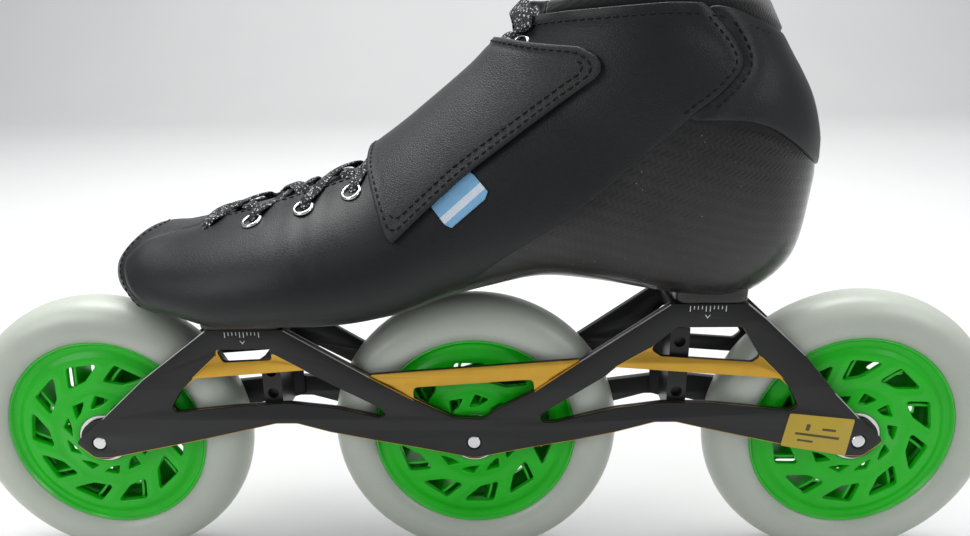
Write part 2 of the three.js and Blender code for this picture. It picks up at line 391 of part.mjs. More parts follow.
// ---------------------------------------------------------------- the assembly
const meshes = {};
for (const [name, x, turn] of [["front", -PITCH, 12], ["middle", 0, 4], ["rear", PITCH, 33.7]]) Object.assign(meshes, makeWheel(name, x, turn));
meshes.frame_plate_left = [makePlate(-1), "black"];
meshes.frame_plate_right = [makePlate(1), "black"];
meshes.front_mount_deck = [makeDeck(-110.4, -78.6, FRONT_DECK_Z), "black"];
meshes.rear_mount_deck = [makeDeck(80.8, 112.2, REAR_DECK_Z), "black"];
meshes.front_cross_web = [makeWeb(-86, 100.5), "black"];
meshes.rear_cross_web = [makeWeb(86, 113), "black"];
for (const [name, x, deck] of [["front", -MOUNT_X, FRONT_DECK_Z], ["rear", MOUNT_X, REAR_DECK_Z]]) {
  const under = deck - DECK_T;
  meshes[name + "_mount_washer"] = [turnedZ([[3.3, under - 1.3], [7, under - 1.3], [7, under - GAP], [3.3, under - GAP], [3.3, under - 1.3]], x, 0), "steel"];
  meshes[name + "_mount_bolt"] = [turnedZ([[0, under - 4], [2, under - 4], [2, under - 5.6], [5, under - 5], [5, under - 1.6], [3, under - 1.6], [3, deck + 3.4], [0, deck + 3.4]], x, 0), "steel"];
  meshes[name + "_mount_insert"] = [turnedZ([[3.3, deck + 0.4], [6, deck + 0.4], [6, deck + 3.6], [3.3, deck + 3.6], [3.3, deck + 0.4]], x, 0), "steel"];
}
meshes.boot_shell = [bootShell, "carbon"];
meshes.heel_cup = [heelCup, "carbon"];
meshes.toe_cap = [toeCap, "leather"];
meshes.quarter_outer = [half(-1), "leather"];
meshes.quarter_inner = [half(1), "leather"];
meshes.heel_cuff = [heelCuff, "leather"];
meshes.insole = [insole, "fabric"];
meshes.tongue = [tongue, "fabric"];
meshes.collar_padding = [collarPadding, "fabric"];
meshes.laces = [laces, "lace"];
meshes.lace_top = [laceTop, "lace"];
meshes.closure_flap = [closureFlap, "leather"];
meshes.flap_anchor = [flapAnchor, "leather"];
meshes.flap_tab = [flapTab, "tab"];
ROWS.slice(1).forEach(([x, outer, inner], i) => {
  meshes["eyelet_outer_" + (i + 1)] = [eyelet(x, outer), "steel"];
  meshes["eyelet_inner_" + (i + 1)] = [eyelet(x, inner), "steel"];
});

const skate = new THREE.Group();
skate.name = "inline_skate";
for (const [name, [body, material]] of Object.entries(meshes)) {
  const mesh = new THREE.Mesh(geometryOf(body), materials[material].clone());
  mesh.name = name;
  skate.add(mesh);
}
export default skate;
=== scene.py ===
import json
import math

import bmesh
import bpy
import numpy as np
from mathutils import Matrix, Quaternion, Vector
from mathutils.bvhtree import BVHTree


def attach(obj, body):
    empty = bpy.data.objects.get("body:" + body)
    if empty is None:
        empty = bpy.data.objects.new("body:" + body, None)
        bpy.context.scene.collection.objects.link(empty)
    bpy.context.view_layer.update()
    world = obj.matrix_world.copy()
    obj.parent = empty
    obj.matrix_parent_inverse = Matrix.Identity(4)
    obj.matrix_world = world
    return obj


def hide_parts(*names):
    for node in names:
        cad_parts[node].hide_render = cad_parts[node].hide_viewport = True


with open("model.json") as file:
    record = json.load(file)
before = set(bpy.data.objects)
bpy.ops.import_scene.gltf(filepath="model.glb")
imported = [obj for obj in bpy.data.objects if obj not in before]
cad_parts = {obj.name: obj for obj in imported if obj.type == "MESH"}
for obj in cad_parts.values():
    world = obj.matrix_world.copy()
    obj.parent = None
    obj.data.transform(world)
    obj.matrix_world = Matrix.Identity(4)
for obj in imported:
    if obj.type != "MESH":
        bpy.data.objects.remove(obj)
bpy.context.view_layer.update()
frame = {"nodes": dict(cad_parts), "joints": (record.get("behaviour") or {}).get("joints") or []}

MM = 0.001
ROOT = "boot_and_frame"
SCENE = bpy.context.scene

# ------------------------------------------------------------------ camera and view transform
ORIGIN = np.array([14.735, -329.948, 225.422])
YAW, PITCH, ROLL = (math.radians(a) for a in (1.704, 20.280, 0.930))
FOCAL_PX, CENTRE_V = 811.51, 340.0


def rotation(yaw, pitch, roll):
    cy, sy, cp, sp, cr, sr = math.cos(yaw), math.sin(yaw), math.cos(pitch), math.sin(pitch), math.cos(roll), math.sin(roll)
    rz = np.array([[cy, -sy, 0], [sy, cy, 0], [0, 0, 1]])
    rx = np.array([[1, 0, 0], [0, cp, sp], [0, -sp, cp]])
    ry = np.array([[cr, 0, sr], [0, 1, 0], [-sr, 0, cr]])
    return rz @ rx @ ry


R = rotation(YAW, PITCH, ROLL)
cam_data = bpy.data.cameras.new("camera")
cam = bpy.data.objects.new("camera", cam_data)
SCENE.collection.objects.link(cam)
m = Matrix.Identity(4)
for row in range(3):
    m[row][0], m[row][1], m[row][2] = R[row, 0], R[row, 2], -R[row, 1]
    m[row][3] = ORIGIN[row] * MM
cam.matrix_world = m
cam_data.sensor_width = 36
cam_data.lens = FOCAL_PX / 970 * 36
cam_data.shift_y = (CENTRE_V - 268) / 970
cam_data.clip_start = 0.01
SCENE.camera = cam
SCENE.view_settings.view_transform = "Standard"


# ------------------------------------------------------------------ material helpers
class Nodes:
    """A short way to wire a node material."""

    def __init__(self, name):
        self.mat = bpy.data.materials.new(name)
        self.mat.use_nodes = True
        self.t = self.mat.node_tree
        self.bsdf = self.t.nodes["Principled BSDF"]
        self.coords = self.t.nodes.new("ShaderNodeTexCoord").outputs["Object"]

    def set(self, **values):
        for k, v in values.items():
            name = {"color": "Base Color", "metal": "Metallic", "rough": "Roughness", "ior": "IOR", "coat": "Coat Weight", "coat_rough": "Coat Roughness", "sheen": "Sheen Weight",
                    "sheen_rough": "Sheen Roughness", "sub": "Subsurface Weight", "sub_scale": "Subsurface Scale", "sub_radius": "Subsurface Radius", "trans": "Transmission Weight", "spec": "Specular IOR Level",
                    "aniso": "Anisotropic"}[k]
            sock = self.bsdf.inputs[name]
            sock.default_value = (*v, 1) if k == "color" else v
        return self

    def node(self, kind, inputs=(), **props):
        n = self.t.nodes.new(kind)
        for k, v in props.items():
            setattr(n, k, v)
        for k, v in dict(inputs).items():
            self.put(n.inputs[k], v)
        return n

    def put(self, socket, v):
        if isinstance(v, bpy.types.NodeSocket):
            self.t.links.new(v, socket)
        elif isinstance(v, (tuple, list)) and socket.type == "RGBA" and len(v) == 3:
            socket.default_value = (*v, 1)
        else:
            socket.default_value = v

    def mapping(self, scale=(1, 1, 1), rot=(0, 0, 0), loc=(0, 0, 0), source=None):
        return self.node("ShaderNodeMapping", {"Vector": source or self.coords, "Scale": scale, "Rotation": rot, "Location": loc}).outputs[0]

    def noise(self, scale, detail=3, rough=0.55, vector=None, distortion=0.0):
        return self.node("ShaderNodeTexNoise", {"Vector": vector or self.coords, "Scale": scale, "Detail": detail, "Roughness": rough, "Distortion": distortion}).outputs["Fac"]

    def voronoi(self, scale, feature="F1", vector=None, rand=1.0):
        n = self.node("ShaderNodeTexVoronoi", {"Vector": vector or self.coords, "Scale": scale, "Randomness": rand}, feature=feature)
        return n.outputs["Distance"]

    def math(self, op, a, b=0.0, c=0.0, clamp=False):
        n = self.node("ShaderNodeMath", operation=op, use_clamp=clamp)
        self.put(n.inputs[0], a)
        if len(n.inputs) > 1:
            self.put(n.inputs[1], b)
        if len(n.inputs) > 2:
            self.put(n.inputs[2], c)
        return n.outputs[0]

    def ramp(self, fac, *stops, interp="LINEAR"):
        n = self.node("ShaderNodeValToRGB", {"Fac": fac})
        cr = n.color_ramp
        cr.interpolation = interp
        while len(cr.elements) < len(stops):
            cr.elements.new(0.5)
        for e, (p, c) in zip(cr.elements, stops):
            e.position = p
            e.color = (*c, 1) if isinstance(c, (tuple, list)) else (c, c, c, 1)
        return n.outputs["Color"]

    def map(self, v, a, b, c, d, clamp=True):
        return self.node("ShaderNodeMapRange", {"Value": v, "From Min": a, "From Max": b, "To Min": c, "To Max": d}, clamp=clamp).outputs[0]

    def mix(self, fac, a, b, blend="MIX"):
        n = self.node("ShaderNodeMix", data_type="RGBA", blend_type=blend)
        self.put(n.inputs["Factor"], fac)
        for key, v in (("A", a), ("B", b)):
            s = [i for i in n.inputs if i.name == key and i.type == "RGBA"][0]
            self.put(s, v)
        return [o for o in n.outputs if o.type == "RGBA"][0]

    def bump(self, height, strength=0.3, distance=0.0005, normal=None):
        n = self.node("ShaderNodeBump", {"Height": height, "Strength": strength, "Distance": distance})
        if normal is not None:
            self.t.links.new(normal, n.inputs["Normal"])
        return n.outputs["Normal"]

    def split(self):
        n = self.node("ShaderNodeSeparateXYZ", {"Vector": self.coords})
        return n.outputs[0], n.outputs[1], n.outputs[2]

    def out(self, color=None, rough=None, normal=None, metal=None):
        for key, v in (("Base Color", color), ("Roughness", rough), ("Normal", normal), ("Metallic", metal)):
            if v is not None:
                self.t.links.new(v, self.bsdf.inputs[key])
        return self.mat


def leather(name, base=(0.007, 0.0075, 0.0085), rough=(0.33, 0.46), grain=0.2, sheen=0.0):
    n = Nodes(name).set(spec=0.42, sheen=sheen, sheen_rough=0.4)
    cells = n.voronoi(1150, "DISTANCE_TO_EDGE", n.mapping(scale=(1, 1, 1.15)))
    fine = n.noise(2600, 4)
    large = n.noise(22, 4, 0.6)
    creases = n.map(cells, 0.0, 0.22, 0.0, 1.0)
    height = n.math("ADD", n.math("MULTIPLY", creases, 0.7), n.math("MULTIPLY", fine, 0.5))
    height = n.math("ADD", height, n.math("MULTIPLY", n.noise(160, 3), 0.9))
    wear = n.map(n.noise(55, 5, 0.7), 0.52, 0.78, 0, 1)
    c = n.mix(large, tuple(v * 0.8 for v in base), tuple(v * 1.35 for v in base))
    c = n.mix(n.math("MULTIPLY", wear, 0.35), c, tuple(v * 1.9 for v in base))
    c = n.mix(n.math("MULTIPLY", n.math("SUBTRACT", 1.0, creases), 0.5), c, tuple(v * 0.45 for v in base))
    r = n.map(n.math("ADD", n.math("MULTIPLY", large, 0.6), n.math("MULTIPLY", fine, 0.4)), 0.3, 0.7, rough[0], rough[1])
    return n.out(c, r, n.bump(height, grain, 0.00035))


def carbon(name):
    """Clear-coated twill: two sets of tows that pass over each other."""
    n = Nodes(name).set(coat=0.3, coat_rough=0.12, spec=0.4)
    x, y, z = n.split()
    along = n.math("ADD", x, n.math("MULTIPLY", y, 0.35))
    up = n.math("ADD", z, n.math("MULTIPLY", y, -0.25))
    u = n.math("MULTIPLY", n.math("ADD", along, n.math("MULTIPLY", up, 0.55)), 520)
    v = n.math("MULTIPLY", n.math("SUBTRACT", up, n.math("MULTIPLY", along, 0.55)), 520)
    fu, fv = n.math("FRACT", u), n.math("FRACT", v)
    iu, iv = n.math("FLOOR", u), n.math("FLOOR", v)
    over = n.math("LESS_THAN", n.math("MODULO", n.math("ADD", n.math("ADD", iu, iv), 4000), 4.0), 1.9)
    cu = n.math("SINE", n.math("MULTIPLY", fu, math.pi))
    cv = n.math("SINE", n.math("MULTIPLY", fv, math.pi))
    height = n.math("ADD", n.math("MULTIPLY", over, cu), n.math("MULTIPLY", n.math("SUBTRACT", 1.0, over), cv))
    fibres = n.noise(1.0, 2, 0.5, n.mapping(scale=(2600, 2600, 500)))
    tow = n.math("MULTIPLY", height, 0.75)
    tow = n.math("ADD", tow, n.math("MULTIPLY", fibres, 0.25))
    faded = n.map(n.noise(34, 3), 0.38, 0.62, 0.25, 1.0)
    c = n.mix(n.math("MULTIPLY", tow, faded), (0.003, 0.003, 0.0033), (0.014, 0.0135, 0.013))
    c = n.mix(n.math("MULTIPLY", over, n.math("MULTIPLY", faded, 0.25)), c, (0.03, 0.029, 0.028))
    # painted glints: small bright specks mixed into the base colour stand in for light catching single fibres
    glint = n.math("LESS_THAN", n.voronoi(420), 0.075)
    c = n.mix(n.math("MULTIPLY", glint, n.map(n.noise(60, 2), 0.5, 0.62, 0, 0.55)), c, (0.5, 0.5, 0.5))
    r = n.map(n.noise(40, 4), 0.3, 0.7, 0.28, 0.44)
    r = n.math("MULTIPLY", r, n.map(x, 0.06, 0.115, 1.0, 0.55))
    return n.out(c, r, n.bump(height, 0.2, 0.0002))


def fabric(name, base, thread=1500, sheen=0.4, rough=0.92):
    n = Nodes(name).set(sheen=sheen, sheen_rough=0.5, spec=0.25)
    x, y, z = n.split()
    a = n.math("SINE", n.math("MULTIPLY", n.math("ADD", x, y), thread * 2))
    b = n.math("SINE", n.math("MULTIPLY", n.math("ADD", z, n.math("MULTIPLY", y, 0.4)), thread * 2))
    w = n.math("MULTIPLY", a, b)
    fuzz = n.noise(1800, 4)
    big = n.noise(30, 3)
    c = n.mix(big, tuple(v * 0.75 for v in base), tuple(v * 1.3 for v in base))
    c = n.mix(n.map(w, -1, 1, 0, 0.5), c, tuple(v * 0.4 for v in base))
    h = n.math("ADD", n.math("MULTIPLY", w, 0.5), fuzz)
    r = n.map(fuzz, 0.3, 0.7, rough - 0.08, min(1, rough + 0.05))
    return n.out(c, r, n.bump(h, 0.45, 0.0003))


def anodised(name, base=(0.009, 0.009, 0.0095)):
    """Satin black anodised aluminium: fine blasted grain with a few handling marks, and painted light that makes the
    face lighter below z = 88 mm.
    """
    n = Nodes(name).set(spec=0.5)
    grain = n.noise(4200, 3)
    cloud = n.noise(38, 4, 0.6)
    scratch = n.noise(1.0, 3, 0.6, n.mapping(scale=(60, 900, 2200), rot=(0, 0.5, 0)))
    marks = n.map(scratch, 0.66, 0.72, 0, 1)
    z = n.split()[2]
    # painted light: the face is lighter below z = 88 mm, standing in for the change in how light falls where the
    # plate's face bends there
    lower = n.map(z, 0.0872, 0.0888, 1.0, 0.0)
    c = n.mix(cloud, tuple(v * 0.85 for v in base), tuple(v * 1.3 for v in base))
    c = n.mix(n.math("MULTIPLY", lower, 0.55), c, tuple(v * 2.3 for v in base))
    c = n.mix(n.math("MULTIPLY", marks, 0.16), c, (0.2, 0.2, 0.2))
    r = n.map(n.math("ADD", n.math("MULTIPLY", cloud, 0.7), n.math("MULTIPLY", grain, 0.3)), 0.3, 0.7, 0.3, 0.44)
    return n.out(c, r, n.bump(grain, 0.08, 0.0002), n.map(marks, 0, 1, 0.25, 0.8))


def metal(name, base, rough=(0.2, 0.34), scale=(300, 300, 300), bump=0.05):
    n = Nodes(name).set(metal=1.0)
    brush = n.noise(1.0, 4, 0.6, n.mapping(scale=scale))
    cloud = n.noise(90, 3)
    c = n.mix(cloud, tuple(v * 0.82 for v in base), tuple(min(1, v * 1.12) for v in base))
    r = n.map(n.math("ADD", n.math("MULTIPLY", brush, 0.6), n.math("MULTIPLY", cloud, 0.4)), 0.3, 0.7, rough[0], rough[1])
    return n.out(c, r, n.bump(brush, bump, 0.0002))


def core_plastic(name):
    n = Nodes(name).set(coat=0.1, coat_rough=0.12, spec=0.38, sub=0.05, sub_scale=0.004, sub_radius=(0.3, 1.0, 0.25))
    flow = n.noise(45, 4, 0.6, distortion=0.6)
    fine = n.noise(1400, 3)
    scuff = n.map(n.noise(1.0, 3, 0.6, n.mapping(scale=(900, 90, 300))), 0.66, 0.74, 0, 1)
    c = n.mix(flow, (0.003, 0.42, 0.004), (0.007, 0.58, 0.007))
    c = n.mix(n.math("MULTIPLY", scuff, 0.12), c, (0.1, 0.6, 0.1))
    r = n.map(n.math("ADD", n.math("MULTIPLY", flow, 0.5), n.math("MULTIPLY", fine, 0.5)), 0.3, 0.7, 0.3, 0.44)
    return n.out(c, r, n.bump(fine, 0.06, 0.0002))


def urethane(name):
    """Milky cast urethane with a little dust and fine scuffs on the tread."""
    n = Nodes(name).set(sub=0.35, sub_scale=0.01, sub_radius=(1.0, 0.95, 0.8), coat=0.1, coat_rough=0.3, spec=0.45)
    cloud = n.noise(26, 4, 0.6)
    fine = n.noise(900, 4, 0.6)
    y = n.split()[1]
    tread = n.map(n.math("ABSOLUTE", y), 0.0045, 0.0085, 1.0, 0.0)
    scuff = n.math("MULTIPLY", tread, n.map(n.noise(1.0, 4, 0.7, n.mapping(scale=(240, 1600, 240))), 0.55, 0.75, 0, 1))
    c = n.mix(cloud, (0.44, 0.475, 0.42), (0.54, 0.575, 0.50))
    c = n.mix(n.math("MULTIPLY", scuff, 0.4), c, (0.34, 0.34, 0.31))
    r = n.math("ADD", n.map(fine, 0.3, 0.7, 0.26, 0.38), n.math("MULTIPLY", scuff, 0.25))
    return n.out(c, r, n.bump(n.math("ADD", fine, n.math("MULTIPLY", scuff, -1.5)), 0.1, 0.0003))


def lace_cord(name):
    """Flat braid in black with silver flecks."""
    n = Nodes(name).set(sheen=0.05, spec=0.3)
    v1 = n.voronoi(900)
    pick = n.noise(900, 2, 0.5)
    fleck = n.math("MULTIPLY", n.map(v1, 0.42, 0.2, 0, 1), n.map(pick, 0.44, 0.5, 0, 1))
    x, y, z = n.split()
    braid = n.math("MULTIPLY", n.math("SINE", n.math("MULTIPLY", n.math("ADD", x, y), 4200)), n.math("SINE", n.math("MULTIPLY", n.math("SUBTRACT", x, y), 4200)))
    c = n.mix(n.noise(300, 2), (0.006, 0.0065, 0.007), (0.02, 0.021, 0.022))
    c = n.mix(fleck, c, (0.8, 0.82, 0.83))
    h = n.math("ADD", n.math("MULTIPLY", braid, 0.8), n.math("SUBTRACT", 0.6, v1))
    return n.out(c, n.map(fleck, 0, 1, 0.85, 0.4), n.bump(h, 0.8, 0.0004))


def plain(name, base, rough=0.5, scale=400, spread=0.25, bump=0.1, **kw):
    n = Nodes(name).set(**kw) if kw else Nodes(name)
    f = n.noise(scale, 4)
    g = n.noise(scale / 14, 3)
    c = n.mix(g, tuple(v * (1 - spread) for v in base), tuple(min(1, v * (1 + spread)) for v in base))
    return n.out(c, n.map(f, 0.3, 0.7, rough - 0.06, rough + 0.06), n.bump(f, bump, 0.0002))


M_LEATHER = leather("leather_black")
M_FLAP = leather("leather_flap", base=(0.011, 0.0115, 0.0125), rough=(0.36, 0.5), grain=0.3)
M_SUEDE = leather("leather_lining", base=(0.02, 0.019, 0.018), rough=(0.6, 0.8), grain=0.3, sheen=0.1)
M_CARBON = carbon("carbon_twill")
M_LINING = fabric("lining_fabric", (0.017, 0.0165, 0.016))
M_TONGUE = fabric("tongue_fabric", (0.02, 0.02, 0.021), thread=1200)
M_INSOLE = fabric("insole_fabric", (0.05, 0.052, 0.055), thread=1100)
M_ANOD = anodised("frame_anodised")
M_GOLD = metal("gold_anodised", (0.62, 0.36, 0.055), rough=(0.28, 0.4), scale=(400, 400, 1600), bump=0.04)
# painted highlight: a bright bare-metal finish on the upward-facing top-edge chamfers stands in for the white glints
# along them
M_EDGE = metal("top_edge_painted_highlight", (0.62, 0.62, 0.62), rough=(0.25, 0.4))
M_STEEL = metal("steel", (0.72, 0.72, 0.73), rough=(0.18, 0.32), scale=(500, 2500, 500))
M_DARKSTEEL = metal("dark_steel", (0.12, 0.12, 0.125), rough=(0.3, 0.42))
M_EYELET = metal("eyelet_nickel", (0.82, 0.82, 0.8), rough=(0.08, 0.16), scale=(800, 800, 800), bump=0.03)
M_CORE = core_plastic("core_green")
M_TYRE = urethane("tyre_urethane")
M_SHIELD = plain("bearing_shield", (0.02, 0.02, 0.022), 0.4, 900, bump=0.05)
M_LACE = lace_cord("lace_fleck")
M_THREAD = plain("stitch_thread", (0.003, 0.003, 0.0035), 0.7, 3000, 0.3, 0.3, spec=0.25)
# painted shade: near-black material for the discs that fill each eyelet in place of an open hole
M_HOLE = plain("eyelet_hole_painted_shade", (0.004, 0.004, 0.004), 0.9, 600)
M_TICK = plain("tick_paint", (0.62, 0.62, 0.6), 0.5, 900)


def tab_material():
    n = Nodes("tab_stripes").set(sheen=0.2, spec=0.3)
    x, y, z = n.split()
    # distance across the tab, measured from its lower long edge towards the flap
    d = n.math("ADD", n.math("MULTIPLY", n.math("SUBTRACT", x, -0.0064), -0.6384), n.math("MULTIPLY", n.math("SUBTRACT", z, 0.1605), 0.7697))
    band = n.math("MULTIPLY", n.math("GREATER_THAN", d, 0.0029), n.math("LESS_THAN", d, 0.0056))
    weave = n.math("MULTIPLY", n.math("SINE", n.math("MULTIPLY", x, 7000)), n.math("SINE", n.math("MULTIPLY", z, 7000)))
    soil = n.noise(240, 4, 0.6)
    blue = n.mix(soil, (0.17, 0.40, 0.66), (0.26, 0.53, 0.78))
    white = n.mix(soil, (0.62, 0.7, 0.8), (0.78, 0.84, 0.9))
    c = n.mix(band, blue, white)
    c = n.mix(n.map(weave, -1, 1, 0, 0.25), c, (0.05, 0.1, 0.16))
    return n.out(c, n.map(soil, 0.3, 0.7, 0.6, 0.75), n.bump(weave, 0.3, 0.0002))


def label_material():
    n = Nodes("label_yellow").set(coat=0.3, coat_rough=0.2, spec=0.5)
    g, f = n.noise(60, 4), n.noise(700, 4, 0.7)
    c = n.mix(g, (0.46, 0.32, 0.012), (0.55, 0.39, 0.02))
    c = n.mix(n.math("MULTIPLY", n.map(f, 0.6, 0.75, 0, 1), 0.25), c, (0.3, 0.22, 0.03))
    return n.out(c, n.map(f, 0.3, 0.7, 0.32, 0.48), n.bump(f, 0.06, 0.0002))


M_TAB, M_LABEL = tab_material(), label_material()


# ------------------------------------------------------------------ mesh helpers
def make_object(name, verts, faces, mats, index=None, smooth=True, body=ROOT, replaces=(), angle=None):
    """verts in mm."""
    me = bpy.data.meshes.new(name)
    me.from_pydata((np.asarray(verts, float) * MM).tolist(), [], [list(map(int, f)) for f in faces])
    for mt in mats if isinstance(mats, (list, tuple)) else [mats]:
        me.materials.append(mt)
    if index is not None:
        me.polygons.foreach_set("material_index", np.asarray(index, np.int32))
    me.polygons.foreach_set("use_smooth", np.full(len(me.polygons), smooth))
    me.update()
    if angle is not None:
        me.set_sharp_from_angle(angle=math.radians(angle))
    o = bpy.data.objects.new(name, me)
    SCENE.collection.objects.link(o)
    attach(o, body)
    if replaces:
        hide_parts(*replaces)
    return o


def join_parts(parts):
    """[(verts, faces, material index)] into one."""
    V, F, I, n = [], [], [], 0
    for v, f, i in parts:
        V.append(np.asarray(v, float))
        F += [[k + n for k in face] for face in f]
        I += [i] * len(f)
        n += len(v)
    return np.concatenate(V), F, I


def lathe(profile, centre, n=96, closed=True, phase=0.0):
    """(radius, y) pairs turned about Y at centre x, z; faces point out when the profile runs so that material is on its left."""
    P = np.array(profile, float)
    a = np.arange(n) / n * 2 * math.pi + phase
    V = np.stack([centre[0] + P[:, 0][:, None] * np.cos(a), np.repeat(P[:, 1][:, None], n, 1), centre[1] + P[:, 0][:, None] * np.sin(a)], -1)
    m = len(P)
    F = []
    for i in range(m if closed else m - 1):
        i2 = (i + 1) % m
        for k in range(n):
            k2 = (k + 1) % n
            F.append([i * n + k, i * n + k2, i2 * n + k2, i2 * n + k])
    return V.reshape(-1, 3), F


def fillet(points, r=1.0, steps=4):
    """Rounded corners for a closed polygon [(x, y) or (x, y, radius)]."""
    out, n = [], len(points)
    for i, p in enumerate(points):
        rr = p[2] if len(p) > 2 else r
        a, b, q = np.array(points[i - 1][:2], float), np.array(points[(i + 1) % n][:2], float), np.array(p[:2], float)
        u, v = a - q, b - q
        lu, lv = np.linalg.norm(u), np.linalg.norm(v)
        u, v = u / lu, v / lv
        half = math.acos(max(-1, min(1, float(u @ v)))) / 2
        if rr <= 0 or half > 1.52:
            out.append(tuple(q))
            continue
        d = min(rr / math.tan(half), 0.48 * lu, 0.48 * lv)
        p0, p2 = q + u * d, q + v * d
        for k in range(steps + 1):
            t = k / steps
            out.append(tuple((1 - t) ** 2 * p0 + 2 * t * (1 - t) * q + t * t * p2))
    return out


def fix_normals(o):
    bm = bmesh.new()
    bm.from_mesh(o.data)
    bmesh.ops.recalc_face_normals(bm, faces=bm.faces)
    bm.to_mesh(o.data)
    bm.free()


def sdf(poly, X, Z):
    """Signed distance to a closed polygon, positive inside."""
    P = np.array([p[:2] for p in poly], float)
    Q = np.roll(P, -1, 0)
    best = np.full(X.shape, 1e9)
    inside = np.zeros(X.shape, bool)
    for (ax, az), (bx, bz) in zip(P, Q):
        ex, ez = bx - ax, bz - az
        t = np.clip(((X - ax) * ex + (Z - az) * ez) / (ex * ex + ez * ez + 1e-12), 0, 1)
        best = np.minimum(best, np.hypot(X - ax - t * ex, Z - az - t * ez))
        cross = (az > Z) != (bz > Z)
        with np.errstate(divide="ignore", invalid="ignore"):
            xi = ax + (Z - az) * ex / (ez if ez else 1e-12)
        inside ^= cross & (X < xi)
    return np.where(inside, best, -best)


def smoothstep(x):
    x = np.clip(x, 0, 1)
    return x * x * (3 - 2 * x)


